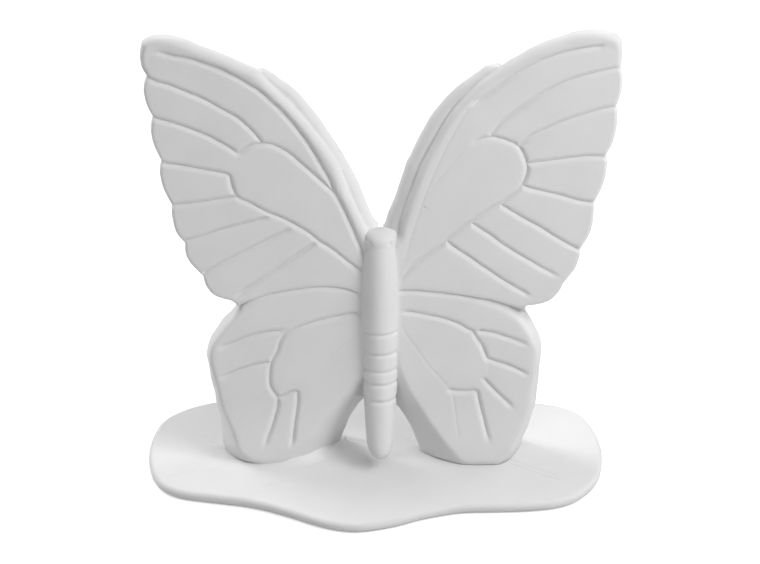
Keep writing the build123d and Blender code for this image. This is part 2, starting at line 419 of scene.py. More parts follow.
@dataclass
class Relief:
    """A leaf of clay shaped like a relief: an outline, a front and a back.

    Attributes:
        outline: The closed outline, in millimetres across and up.
        rims: How the rim is rounded at each point of the outline, in millimetres.
        front: The height of the front over each place, in millimetres.
        back: The height of the back over each place, in millimetres.
        lines: Lines beside which the mesh is fine.
        spacing: The size of the mesh on the open parts of the front.
        back_spacing: The same on the back.
        rim_power: How the rim is rounded: 2 is a quarter circle and 1 a flat bevel.
        row_offsets: How far from a line its rows of mesh points lie.
        rim_steps: Where those beside the outline lie, as shares of the rounding.
        row_height: The distance of the grid's rows, as a share of its spacing.
        clearance: How far the open grid stays from close rows, as a share of its spacing.
        rim_slack: How much nearer than wanted a point beside the outline may lie, as a share.
        least_gap: The least distance between points, and from a line's points to the outline.
    """

    outline: np.ndarray
    rims: np.ndarray
    front: Height
    back: Height
    lines: list[np.ndarray] = field(default_factory=list)
    spacing: float = 0.9
    back_spacing: float = 1.6
    rim_power: float = 1.7
    row_offsets: tuple[float, ...] = (0.0, 0.17, 0.38, 0.65, 1.0, 1.45, 1.95)
    rim_steps: tuple[float, ...] = (0.08, 0.2, 0.36, 0.56, 0.78, 1.0)
    row_height: float = 0.866
    clearance: float = 0.4
    rim_slack: float = 0.03
    least_gap: float = 0.13

    def __post_init__(self) -> None:
        """Turn the outline so that it runs anticlockwise."""
        x, y = self.outline.T
        if (x * np.roll(y, -1) - np.roll(x, -1) * y).sum() < 0:
            self.outline = self.outline[::-1].copy()
            self.rims = self.rims[::-1].copy()
        self.measure = Measure(self.outline, closed=True)

    def rim_drop(self, places: np.ndarray) -> np.ndarray:
        """Find how far the rounding of the rim takes the face down.

        Args:
            places: Millimetres across and up.

        Returns:
            The drop at each place, in millimetres.
        """
        distance, nearest, _ = self.measure(places)
        radius = self.rims[nearest]
        reach = np.clip(1 - distance / radius, 0.0, 1.0)
        return radius * (1 - (1 - reach**self.rim_power) ** (1 / self.rim_power))

    def rows_in_rim(self) -> np.ndarray:
        """Spread mesh points over the rounding of the rim.

        Returns:
            Rows of points beside the outline, closer together where the rim is steep.
        """
        inward = normals(np.vstack([self.outline[-1:], self.outline, self.outline[:1]]))[1:-1]
        rows = np.vstack([self.outline + inward * (self.rims * step)[:, None] for step in self.rim_steps])
        wanted = np.tile(self.rims, len(self.rim_steps)) * np.repeat(self.rim_steps, len(self.outline))
        return rows[self.measure(rows)[0] > wanted * (1 - self.rim_slack) - 0.01]

    def rows_beside(self, lines: list[np.ndarray]) -> np.ndarray:
        """Spread mesh points beside lines.

        Args:
            lines: The lines along which the mesh is fine.

        Returns:
            Rows of points on the lines and to either side.
        """
        rows = [np.empty((0, 2))]
        for line in lines:
            beside = normals(line)
            for offset in self.row_offsets:
                for way in (-1, 1) if offset else (1,):
                    rows.append(line + way * offset * beside)
        fine = np.vstack(rows)
        return fine[self.measure(fine)[0] > self.least_gap - 0.01]

    def open_grid(self, spacing: float, lines: list[np.ndarray]) -> np.ndarray:
        """Spread mesh points over the open places.

        Args:
            spacing: The distance between the points.
            lines: Lines from which they stay away.

        Returns:
            The points of a grid of triangles that are clear of the rim and of the lines.
        """
        low, high = self.outline.min(0), self.outline.max(0)
        across = np.arange(low[0], high[0], spacing)
        up = np.arange(low[1], high[1], spacing * self.row_height)
        grid = np.stack(np.meshgrid(across, up), -1)
        grid[1::2, :, 0] += spacing / 2
        grid = grid.reshape(-1, 2)
        clear = spacing * self.clearance
        for line in lines:
            grid = grid[Measure(line)(grid)[0] > self.row_offsets[-1] + clear]
        distance, nearest, _ = self.measure(grid)
        return grid[distance > self.rims[nearest] + clear]

    def spots(self, spacing: float, lines: list[np.ndarray]) -> np.ndarray:
        """Spread mesh points over the inside of the outline."""
        every = np.vstack([self.rows_in_rim(), self.rows_beside(lines), self.open_grid(spacing, lines)])
        return thinned(every[inside(self.outline, every)], self.least_gap)

    def skin(self, spots: np.ndarray, height: Height, way: int) -> tuple[np.ndarray, Faces, list[int]]:
        """Lay one face of the leaf over its points.
        Args:
            spots: The points inside the outline.
            height: The height of that face.
            way: 1 for the front and -1 for the back.

        Returns:
            The vertices, the triangles, and the vertex of each point of the outline.
        """
        every = np.vstack([self.outline, spots])
        count = len(self.outline)
        found = delaunay_2d_cdt([Vector(spot) for spot in every], [], [list(range(count))], 1, 1e-7)
        flat = np.array([tuple(place) for place in found[0]])
        rim = [0] * count
        for number, sources in enumerate(found[3]):
            for source in sources:
                if source < count:
                    rim[source] = number
        tall = height(flat) - way * self.rim_drop(flat)
        triangles = [tuple(face) if way > 0 else tuple(reversed(face)) for face in found[2]]
        return np.column_stack([flat, tall]), triangles, rim

    def shell(self) -> tuple[np.ndarray, Faces]:
        """Close the leaf.

        Returns:
            Its vertices in millimetres across, up and to the front, and its faces.
        """
        front, front_faces, front_rim = self.skin(self.spots(self.spacing, self.lines), self.front, 1)
        back, back_faces, back_rim = self.skin(self.spots(self.back_spacing, []), self.back, -1)
        shift = len(front)
        faces = front_faces + [tuple(corner + shift for corner in face) for face in back_faces]
        back_rim = [corner + shift for corner in back_rim]
        count = len(self.outline)
        for here in range(count):
            there = (here + 1) % count
            faces.append((front_rim[there], front_rim[here], back_rim[here], back_rim[there]))
        return np.vstack([front, back]), faces


def thinned(points: np.ndarray, least: float) -> np.ndarray:
    """Leave out points that lie in the same small cell as an earlier one.

    Args:
        points: The points, the most wanted first.
        least: The size of a cell.

    Returns:
        The points that stay, in their order.
    """
    for shift in (0.0, 0.5):
        cells = np.floor(points / least + shift).astype(np.int64)
        _, first = np.unique(cells, axis=0, return_index=True)
        points = points[np.sort(first)]
    return points


# Node trees


class Tree:
    """A tree of geometry nodes with named inputs, ended by realized instances and a finish."""

    def __init__(self, name: str, sizes: dict[str, tuple[str, object]]) -> None:
        """Start a tree.

        Args:
            name: The tree's name.
            sizes: For each named input, the kind of its socket and its value.
        """
        self.group = bpy.data.node_groups.new(name, "GeometryNodeTree")
        self.group.interface.new_socket("Geometry", in_out="INPUT", socket_type="NodeSocketGeometry")
        self.group.interface.new_socket("Geometry", in_out="OUTPUT", socket_type="NodeSocketGeometry")
        self.values = {}
        for label, (kind, value) in sizes.items():
            socket = self.group.interface.new_socket(label, in_out="INPUT", socket_type=kind)
            self.values[socket.identifier] = value
        finish = self.group.interface.new_socket("Finish", in_out="INPUT", socket_type="NodeSocketMaterial")
        self.finish_identifier = finish.identifier
        self.start = self.group.nodes.new("NodeGroupInput")

    def node(self, kind: str, **settings: object) -> bpy.types.Node:
        """Add a node.

        Args:
            kind: The node's type.
            settings: Some of its properties.

        Returns:
            The node.
        """
        made = self.group.nodes.new(kind)
        for label, value in settings.items():
            setattr(made, label, value)
        return made

    def join(self, source: bpy.types.NodeSocket, target: bpy.types.NodeSocket) -> None:
        """Link two sockets."""
        self.group.links.new(source, target)

    def sum(
        self, operation: str, first: object, second: object = None, third: object = None
    ) -> bpy.types.NodeSocket:
        """Work out a number.

        Args:
            operation: What the node does with its values.
            first: A socket or a number.
            second: A socket or a number.
            third: A socket or a number.

        Returns:
            The socket that gives the result.
        """
        made = self.node("ShaderNodeMath", operation=operation)
        for socket, value in zip(made.inputs, (first, second, third)):
            if isinstance(value, bpy.types.NodeSocket):
                self.join(value, socket)
            elif value is not None:
                socket.default_value = value
        return made.outputs[0]

    def end(self, result: bpy.types.NodeSocket) -> None:
        """End the tree with realized instances and the finish.

        Args:
            result: The socket that gives the finished geometry.
        """
        realize = self.node("GeometryNodeRealizeInstances")
        dress = self.node("GeometryNodeSetMaterial")
        end = self.node("NodeGroupOutput")
        self.join(result, realize.inputs[0])
        self.join(realize.outputs[0], dress.inputs["Geometry"])
        self.join(self.start.outputs["Finish"], dress.inputs["Material"])
        self.join(dress.outputs[0], end.inputs[0])

    def shape(self, thing: bpy.types.Object, finish: bpy.types.Material) -> bpy.types.Object:
        """Put an object through the tree.

        Args:
            thing: The object to shape.
            finish: The material that its result gets.

        Returns:
            The same object with a plain mesh.
        """
        modifier = thing.modifiers.new(self.group.name, "NODES")
        modifier.node_group = self.group
        for identifier, value in self.values.items():
            modifier[identifier] = value
        modifier[self.finish_identifier] = finish
        return settle(thing)


@dataclass(frozen=True)
class Graver:
    """The tool that presses grooves into soft clay along lines.

    A groove is a sharp V whose sides flatten outwards, so that the clay beside it looks padded.

    Attributes:
        width: The full width over which the clay sinks in.
        depth: How deep the groove is.
        sharpness: How much steeper the sides are at the line than a plain V.
        wobble: How much the depth changes along a groove, as a share.
        seed: The seed of that change.
        wobble_scale: How often it comes, for a metre.
    """

    width: float
    depth: float
    sharpness: float = 2.0
    wobble: float = 0.25
    seed: float = 3.0
    wobble_scale: float = 90.0

    def cut(self, thing: bpy.types.Object, lines: list[np.ndarray], finish: bpy.types.Material) -> None:
        """Cut grooves into an object.

        Args:
            thing: The object, with a fine mesh beside the lines.
            lines: The lines on its surface, in metres.
            finish: The material of the object.
        """
        guide = line_object(thing.name + "_lines", lines)
        tree = Tree(
            "Groove",
            {
                "Lines": ("NodeSocketObject", guide),
                "Width": ("NodeSocketFloat", self.width * MM),
                "Depth": ("NodeSocketFloat", self.depth * MM),
                "Sharpness": ("NodeSocketFloat", self.sharpness),
                "Wobble": ("NodeSocketFloat", self.wobble),
                "Seed": ("NodeSocketFloat", self.seed),
            },
        )
        given = tree.start.outputs
        info = tree.node("GeometryNodeObjectInfo", transform_space="ORIGINAL")
        tree.join(given["Lines"], info.inputs["Object"])
        near = tree.node("GeometryNodeProximity", target_element="EDGES")
        tree.join(info.outputs["Geometry"], near.inputs[0])
        half = tree.sum("MULTIPLY", given["Width"], 0.5)
        share = tree.sum("SUBTRACT", 1.0, tree.sum("DIVIDE", near.outputs["Distance"], half))
        profile = tree.sum("POWER", tree.sum("MAXIMUM", share, 0.0), given["Sharpness"])
        noise = tree.node("ShaderNodeTexNoise", noise_dimensions="4D")
        noise.inputs["Scale"].default_value = self.wobble_scale
        noise.inputs["Detail"].default_value = 1.0
        tree.join(given["Seed"], noise.inputs["W"])
        change = tree.sum("MULTIPLY", tree.sum("SUBTRACT", noise.outputs[0], 0.5), given["Wobble"])
        full = tree.sum("MULTIPLY", profile, given["Depth"])
        deep = tree.sum("MULTIPLY", full, tree.sum("ADD", change, 1.0))
        scale = tree.node("ShaderNodeVectorMath", operation="SCALE")
        tree.join(tree.node("GeometryNodeInputNormal").outputs[0], scale.inputs[0])
        tree.join(tree.sum("MULTIPLY", deep, -1.0), scale.inputs["Scale"])
        move = tree.node("GeometryNodeSetPosition")
        tree.join(given["Geometry"], move.inputs["Geometry"])
        tree.join(scale.outputs[0], move.inputs["Offset"])
        tree.end(move.outputs[0])
        tree.shape(thing, finish)
        discard(guide)


# Finishes


@dataclass(frozen=True)
class Bisque:
    """Fired clay without glaze: matt, pale and faintly grainy.

    Attributes:
        name: The material's name.
        tone: The linear lightness of the clay.
        mottle: How much the lightness changes over the surface, as a share.
        roughness: How matt the clay is.
        specular: How strongly it reflects.
        clouds: The scale and the detail of the slow changes of lightness.
        specks: The same of the fine ones.
        speck_share: How much of the lightness the fine ones make up.
        contrast: Where between their lowest and highest the lightness starts and stops changing.
        grain_strength: How strongly the finest grain shows.
        grain_height: The height of that grain, in metres.
    """

    name: str
    tone: float = 0.75
    mottle: float = 0.03
    roughness: float = 0.9
    specular: float = 0.25
    clouds: tuple[float, float] = (60.0, 4.0)
    specks: tuple[float, float] = (2600.0, 2.0)
    speck_share: float = 0.45
    contrast: tuple[float, float] = (0.3, 0.7)
    grain_strength: float = 0.5
    grain_height: float = 0.00006

    @staticmethod
    def noise(tree: bpy.types.NodeTree, scale: float, detail: float) -> bpy.types.NodeSocket:
        """Add noise that is fixed to the surface.

        Args:
            tree: The material's tree.
            scale: The scale of the noise.
            detail: Its detail.

        Returns:
            The socket that gives it.
        """
        made = tree.nodes.new("ShaderNodeTexNoise")
        made.inputs["Scale"].default_value = scale
        made.inputs["Detail"].default_value = detail
        place = tree.nodes.new("ShaderNodeTexCoord")
        tree.links.new(place.outputs["Object"], made.inputs["Vector"])
        return made.outputs["Fac"]

    def material(self) -> bpy.types.Material:
        """Make the material.

        Returns:
            The material, with its nodes.
        """
        made = bpy.data.materials.new(self.name)
        made.use_nodes = True
        tree = made.node_tree
        shader = tree.nodes["Principled BSDF"]
        shader.inputs["Roughness"].default_value = self.roughness
        shader.inputs["Specular IOR Level"].default_value = self.specular
        speck = self.noise(tree, *self.specks)
        blend = tree.nodes.new("ShaderNodeMix")
        blend.data_type = "FLOAT"
        blend.inputs["Factor"].default_value = self.speck_share
        tree.links.new(self.noise(tree, *self.clouds), blend.inputs["A"])
        tree.links.new(speck, blend.inputs["B"])
        ramp = tree.nodes.new("ShaderNodeValToRGB")
        for stop, place, way in zip(ramp.color_ramp.elements, self.contrast, (-1, 1)):
            tone = self.tone * (1 + way * self.mottle)
            stop.position = place
            stop.color = (tone, tone, tone, 1.0)
        tree.links.new(blend.outputs["Result"], ramp.inputs["Fac"])
        tree.links.new(ramp.outputs["Color"], shader.inputs["Base Color"])
        bump = tree.nodes.new("ShaderNodeBump")
        bump.inputs["Strength"].default_value = self.grain_strength
        bump.inputs["Distance"].default_value = self.grain_height
        tree.links.new(speck, bump.inputs["Height"])
        tree.links.new(bump.outputs["Normal"], shader.inputs["Normal"])
        return made


def finish_piece(thing: bpy.types.Object, node: str, material: bpy.types.Material) -> None:
    """Hand a finished piece over to the frame.

    Args:
        thing: The piece.
        node: The solid that it stands for.
        material: Its material.
    """
    thing.data.materials.clear()
    thing.data.materials.append(material)
    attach(thing, "root")
    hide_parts(node)
    LOG.info("%s: %d faces", thing.name, len(thing.data.polygons))


# The pieces


# Each section of the body has its height, half width, half depth and set-back, in millimetres
BODY_SECTIONS: list[tuple[float, float, float, float]] = [
    (92.5, 1.0, 0.8, 2.2), (92.4, 3.4, 2.2, 2.3), (92.0, 5.2, 3.6, 2.5), (91.2, 6.1, 4.9, 2.6),
    (90.0, 6.4, 6.2, 2.8), (88.4, 6.4, 7.1, 3.1), (86.6, 6.3, 7.6, 3.6), (83.1, 6.7, 8.8, 4.1),
    (77.4, 7.3, 10.0, 4.6), (68.8, 7.5, 10.4, 4.7), (55.0, 7.45, 10.3, 4.7), (43.0, 7.1, 9.6, 4.5),
    (34.4, 6.7, 8.8, 3.8), (23.2, 5.95, 7.3, 1.8), (14.0, 5.35, 6.2, -0.3), (8.8, 4.8, 5.4, -1.7),
    (5.9, 3.95, 4.5, -2.5), (4.4, 2.9, 3.3, -2.9), (3.5, 1.7, 2.0, -3.1), (3.2, 0.6, 0.8, -3.1),
]


def body_section(up: np.ndarray) -> np.ndarray:
    """Look up the body's sections."""
    table = flowing(np.array(BODY_SECTIONS), 0.3)[::-1]
    return np.stack([np.interp(up, table[:, 0], table[:, column]) for column in (1, 2, 3)], 1)


def body_fillet(places: np.ndarray, radius: float) -> np.ndarray:
    """How high the clay of a wing rises where it runs into the body.

    Args:
        places: Millimetres across and up.
        radius: The radius of the rounded inner corner.

    Returns:
        The rise over each place, in millimetres.
    """
    sink_share = 1.05
    tail_clearance, tail_fade = 12, 8
    head_overrun, head_fade = 2, 6
    up = places[:, 1]
    half_width, half_depth, back = body_section(up).T
    depth_share = (back + sink_share * radius) / np.maximum(half_depth, 0.1)
    edge = half_width * np.sqrt(np.clip(1 - depth_share**2, 0.0, 1.0))
    reach = radius - np.clip(np.abs(places[:, 0]) - edge, 0.0, radius)
    low, high = BODY_SECTIONS[-1][0], BODY_SECTIONS[0][0]
    present = eased((up - low - tail_clearance) / tail_fade) * eased((high + head_overrun - up) / head_fade)
    return (radius - np.sqrt(np.maximum(radius**2 - reach**2, 0.0))) * present


@dataclass(frozen=True)
class HandWaves:
    """Slow unevenness, as a hand leaves it in clay.

    Attributes:
        height: The height of the waves, in millimetres.
        length: Their length, in millimetres.
        turn: What sets the right side apart from the left.
        start: Where the waves start.
        waves: Each wave's counts across and up, its part of the start, and its share.
    """

    height: float
    length: float
    turn: float = 0.0
    start: float = 0.0
    waves: tuple[tuple[float, ...], ...] = (
        (5.1, 2.3, 1.0, 1.0),
        (-3.1, 4.7, 1.7, 1.0),
        (8.3, -6.1, 2.9, 0.6),
    )

    def __call__(self, places: np.ndarray, side: int = 0) -> np.ndarray:
        """Work out the unevenness.

        Args:
            places: Two coordinates for each place, in millimetres.
            side: -1 on the left and 1 on the right.

        Returns:
            The rise or fall at each place, in millimetres.
        """
        x, y = places[:, 0] / self.length, places[:, 1] / self.length
        start = side * self.turn + self.start
        rise = sum(share * np.sin(a * x + b * y + c * start) for a, b, c, share in self.waves)
        return self.height * rise / sum(wave[3] for wave in self.waves)


def wing_lines(lines: list[Points], depth: float = 0.0, spacing: float = 0.35) -> list[np.ndarray]:
    """Draw the smooth lines of grooves on the wings."""
    return [flowing(DRAWING.on_wing(line, depth), spacing) for line in lines]


def raised(line: np.ndarray, height: Height) -> np.ndarray:
    """Lift a flat line onto a face whose height is known."""
    return np.column_stack([line, height(line)])


def run_out(line: np.ndarray, ends: np.ndarray, reach: float = 4.5, lift: float = 1.5) -> np.ndarray:
    """Lift the open ends of a groove's line off the face, so that the groove fades out there.

    Args:
        line: The line on the face.
        ends: The open ends, in millimetres across and up.
        reach: How long the fading part is.
        lift: How far its end is lifted.

    Returns:
        The line with its open ends lifted.
    """
    same = 0.6
    line = line.copy()
    for end in ends:
        for tip in (line[0, :2], line[-1, :2]):
            if math.dist(tip, end) < same:
                away = np.linalg.norm(line[:, :2] - tip, axis=1)
                line[:, 2] += lift * np.clip(1 - away / reach, 0.0, 1.0) ** 2
    return line


@dataclass
class Forewing:
    """A forewing: a front leaf with a beaded leading edge and a second leaf behind its root.

    Attributes:
        side: The side of the body.
        leading: The outer edge of the bead, from the body over the tip to the first notch.
        scallops: The lobes of the outer margin, each from notch to notch.
        seam: The lower edge that covers the hindwing, from the corner to the body.
        rib: The edge of the second leaf, from the body to where it ends.
        veins: The grooves of the front.
        faint_veins: Grooves that are barely there.
        tip_column: The column past which the bead gets thinner.
        bead_foot: The line along which the bead meets the panel, from the tip to the body.
        blend: The radius with which the face runs into the body.
        faint_veins: Grooves that are barely there.
        pits: Short strokes of the smallest pits.
        open_ends: Where grooves run out instead of meeting an edge or another groove.
        edge_thickness: The thickness of the front leaf.
        root_thickness: The thickness of both leaves at the body.
        outline_spacing: The distance between the points of an outline.
        fold_spacing: The same for lines that are only measured from.
        front_waves: The unevenness of the front.
        back_waves: The unevenness of the back.
        bead_lift: How far behind the front the top of a level leading edge lies.
        bead_height: How far the bead stands up from the panel.
        bead_width: The width from which it stands up in full.
        tip_fade: The length over which the bead gets thinner.
        corner: The rounding of the lower corner.
        corner_reach: How far along the seam that rounding fades.
        rim_spread: How many points to either side a change of the rim is spread over.
        seam_roll: How far the face rolls back at the seam.
        seam_reach: How wide that roll is.
        rib_reach: How far from the body the second leaf runs.
        rib_away: Shares of that reach.
        rib_depth: How far behind the front the leaf's edge lies there.
        rib_front: Where the leaf's hidden front lies.
        rib_overlap: How far the leaf runs into the front one.
        rib_rounding: The rounding of its edge, as a share of its thickness.
        rib_end_fade: The length over which that rounding gets smaller.
        rib_end_share: What is left of it at the end.
        rib_foot: How far the leaf ends above the seam's top and below its foot.
        ridge: The height, middle and half width of the round ridge behind its edge.
        ridge_rise: How far the ridge stands out past the leaf, and its share of the splay.
    """

    side: Side
    leading: Points
    scallops: list[Points]
    seam: Points
    rib: Points
    veins: list[Points]
    tip_column: float
    bead_foot: Points
    blend: float
    faint_veins: list[Points] = field(default_factory=list)
    pits: list[Points] = field(default_factory=list)
    open_ends: Points = field(default_factory=list)
    edge_thickness: float = 6.4
    root_thickness: float = 12.4
    outline_spacing: float = 0.5
    fold_spacing: float = 0.6
    front_waves: HandWaves = HandWaves(0.16, 60.0, turn=1.3)
    back_waves: HandWaves = HandWaves(0.1, 60.0, turn=2.1)
    bead_lift: float = 3.76
    bead_height: float = 0.8
    bead_width: float = 6.5
    tip_fade: float = 6.0
    corner: float = 2.4
    corner_reach: float = 9.0
    rim_spread: int = 4
    seam_roll: float = 0.4
    seam_reach: float = 2.2
    rib_reach: float = 45.5
    rib_away: tuple[float, ...] = (0.0, 0.05, 0.1, 0.18, 0.35, 0.5, 0.65, 0.78, 1.0)
    rib_depth: tuple[float, ...] = (7.2, 6.2, 4.4, 2.4, 2.2, 2.5, 3.2, 5.0, 5.1)
    rib_front: float = -2.3
    rib_overlap: float = 0.15
    rib_rounding: float = 0.43
    rib_end_fade: float = 5.0
    rib_end_share: float = 0.3
    rib_foot: tuple[float, float] = (1.0, 3.0)
    ridge: tuple[float, float, float] = (2.3, 2.6, 3.6)
    ridge_rise: tuple[float, float] = (1.6, 0.6)

    def __post_init__(self) -> None:
        """Lay out the two sides of the bead and the seam."""
        self.bead_side = Measure(flowing(DRAWING.on_wing(self.bead_foot), self.fold_spacing))
        self.edge_side = Measure(flowing(self.lifted(self.leading, self.bead_lift), self.fold_spacing))
        self.seam_side = Measure(flowing(DRAWING.on_wing(self.seam), self.fold_spacing))

    def outline(self) -> tuple[np.ndarray, np.ndarray]:
        """Lay out the front leaf.

        Returns:
            The leaf's outline and how its rim is rounded at each point.
        """
        leading = flowing(self.lifted(self.leading, self.bead_lift), self.outline_spacing)
        tip = abs(self.tip_column - DRAWING.middle) / DRAWING.across
        beyond = eased((np.abs(leading[:, 0]) - tip) / self.tip_fade)
        lobes = wing_lines(self.scallops, spacing=self.outline_spacing)
        seam = flowing(DRAWING.on_wing(self.seam), self.outline_spacing)
        gone = np.arange(len(seam)) * self.outline_spacing / self.corner_reach
        closing = even(np.array([seam[-1], leading[0]]), self.outline_spacing)
        runs = [leading, *lobes, seam, closing]
        rims = [
            Rim.BEAD.value + (Rim.TIP.value - Rim.BEAD.value) * beyond,
            *[np.full(len(lobe), Rim.MARGIN.value) for lobe in lobes],
            Rim.CREASE.value + (self.corner - Rim.CREASE.value) * (1 - eased(gone)),
            np.full(len(closing), Rim.HIDDEN.value),
        ]
        radius = np.concatenate([rim[:-1] for rim in rims])
        spread = self.rim_spread
        padded = np.concatenate([radius[-spread:], radius, radius[:spread]])
        count = 2 * spread + 1
        return np.vstack([run[:-1] for run in runs]), np.convolve(padded, np.ones(count) / count, "valid")

    @staticmethod
    def lifted(points: Points, lift: float) -> np.ndarray:
        """Lay an edge out on the wing, lower where its rounded top hides what is behind.

        Args:
            points: The edge as it is seen.
            lift: How far behind the front the top of a level edge lies, in millimetres.

        Returns:
            The edge's places, in millimetres.
        """
        beside = normals(DRAWING.on_wing(points))[:, 1]
        turned = np.maximum.accumulate(beside * beside[0] < 0)
        return DRAWING.on_wing(points, lift * np.abs(beside) * ~turned)

    def front_height(self, places: np.ndarray) -> np.ndarray:
        """Shape the front of the front leaf.

        Args:
            places: Millimetres across and up.

        Returns:
            Its height at each place, in millimetres.
        """
        to_seam = self.seam_side(places)[0]
        roll = self.seam_roll * np.clip(1 - to_seam / self.seam_reach, 0.0, 1.0) ** 2
        flat = self.front_waves(places, self.side.value)
        return flat - roll + self.bead_rise(places) + body_fillet(places, self.blend)

    def bead_rise(self, places: np.ndarray) -> np.ndarray:
        """Round up the bead between the leading edge and its groove.

        Args:
            places: Millimetres across and up.

        Returns:
            How far the bead stands up at each place, in millimetres.
        """
        to_foot, at_foot, side = self.bead_side(places)
        to_edge = self.edge_side(places)[0]
        middle = len(self.edge_side.line) // 2
        beyond = self.bead_side(self.edge_side.line[middle : middle + 1])[2][0]
        width = to_foot + to_edge
        share = to_edge / (width + 1e-6)
        rise = self.bead_height * np.clip(width / self.bead_width, 0.0, 1.0) * (1 - share**2)
        return np.where((side == beyond) & (at_foot > 0), rise, 0.0)

    def back_height(self, places: np.ndarray) -> np.ndarray:
        """The back of the front leaf."""
        return -self.edge_thickness - self.back_waves(places, self.side.value)

    def rear_back_height(self, places: np.ndarray) -> np.ndarray:
        """Shape the back of the second leaf, which gets thinner away from the body.

        Args:
            places: Millimetres across and up.

        Returns:
            Its height at each place, in millimetres.
        """
        share = np.clip(1 - np.abs(places[:, 0]) / self.rib_reach, 0.0, 1.0)
        splay = (self.root_thickness - self.edge_thickness) * share
        distance = Measure(self.rib_line())(places)[0]
        height, middle, half_width = self.ridge
        least, part = self.ridge_rise
        roll = height * np.sqrt(np.clip(1 - ((distance - middle) / half_width) ** 2, 0.0, 1.0))
        lift = np.maximum(splay, np.minimum(roll, splay * part + least))
        return -self.edge_thickness + self.rib_overlap - lift

    def rib_line(self) -> np.ndarray:
        """Lay out the edge of the second leaf.

        Returns:
            The edge, in millimetres across and up.
        """
        columns = np.array(self.rib)[:, 0]
        away = np.abs(columns - DRAWING.middle) / DRAWING.across / self.rib_reach
        behind = np.interp(away, self.rib_away, self.rib_depth)
        return flowing(DRAWING.on_wing(self.rib, behind), self.outline_spacing)

    def rear_leaf(self, space: WingSpace) -> bpy.types.Object:
        """Build the second leaf.

        Args:
            space: The plane of the wings.

        Returns:
            The mesh object, which is to be fused to the front leaf.
        """
        rib = self.rib_line()
        seam_up = DRAWING.on_wing(self.seam)[:, 1]
        above, below = self.rib_foot
        foot = np.array([[rib[-1, 0], seam_up.max() + above], [rib[0, 0], seam_up.min() - below]])
        straight = even(np.vstack([rib[-1:], foot, rib[:1]]), 0.8)
        thick = self.rib_front - self.rear_back_height(rib)
        fade = eased((self.rib_reach - np.abs(rib[:, 0])) / self.rib_end_fade)
        soft = self.rib_rounding * thick * (self.rib_end_share + (1 - self.rib_end_share) * fade)
        rims = np.concatenate([soft[:-1], np.full(len(straight) - 1, Rim.HIDDEN.value)])
        relief = Relief(
            np.vstack([rib[:-1], straight[:-1]]), rims, lambda places: np.full(len(places), self.rib_front),
            self.rear_back_height, spacing=1.6, back_spacing=1.4,
        )
        places, faces = relief.shell()
        return mesh_object(f"{self.side.word}_rear_leaf", space.to_world(places), faces)

    def build(self, space: WingSpace, finish: bpy.types.Material) -> bpy.types.Object:
        """Build the forewing.

        Args:
            space: The plane of the wings.
            finish: Its material.

        Returns:
            The finished mesh object.
        """
        veins, faint = wing_lines(self.veins), wing_lines(self.faint_veins)
        pits = wing_lines(self.pits, spacing=0.15)
        relief = Relief(*self.outline(), self.front_height, self.back_height, veins + faint + pits)
        places, faces = relief.shell()
        wing = mesh_object(f"{self.side.word}_forewing_skin", space.to_world(places), faces)
        cuts = [(VEIN_GRAVER, veins), (FAINT_GRAVER, faint), (PIT_NEEDLE, pits)]
        engrave(wing, space, cuts, self.front_height, DRAWING.on_wing(self.open_ends), finish)
        unite(wing, self.rear_leaf(space))
        return wing


def engrave(
    wing: bpy.types.Object, space: WingSpace, cuts: list[tuple[Graver, list[np.ndarray]]],
    height: Height, ends: np.ndarray, finish: bpy.types.Material,
) -> None:
    """Cut the grooves of a wing.

    Args:
        wing: The wing.
        space: The plane of the wings.
        cuts: Each tool with its lines, in millimetres across and up.
        height: The height of the wing's front.
        ends: The open ends of lines, at which the groove runs out.
        finish: The wing's material.
    """
    for tool, strokes in cuts:
        if strokes:
            on_face = [run_out(raised(stroke, height), ends) for stroke in strokes]
            tool.cut(wing, [space.to_world(stroke) for stroke in on_face], finish)


def unite(thing: bpy.types.Object, other: bpy.types.Object) -> None:
    """Fuse two closed objects into the first and remove the second.

    Args:
        thing: The object that stays.
        other: The object that is fused to it.
    """
    joint = thing.modifiers.new("fuse", "BOOLEAN")
    joint.operation = "UNION"
    joint.solver = "MANIFOLD"
    joint.object = other
    settle(thing)
    discard(other)


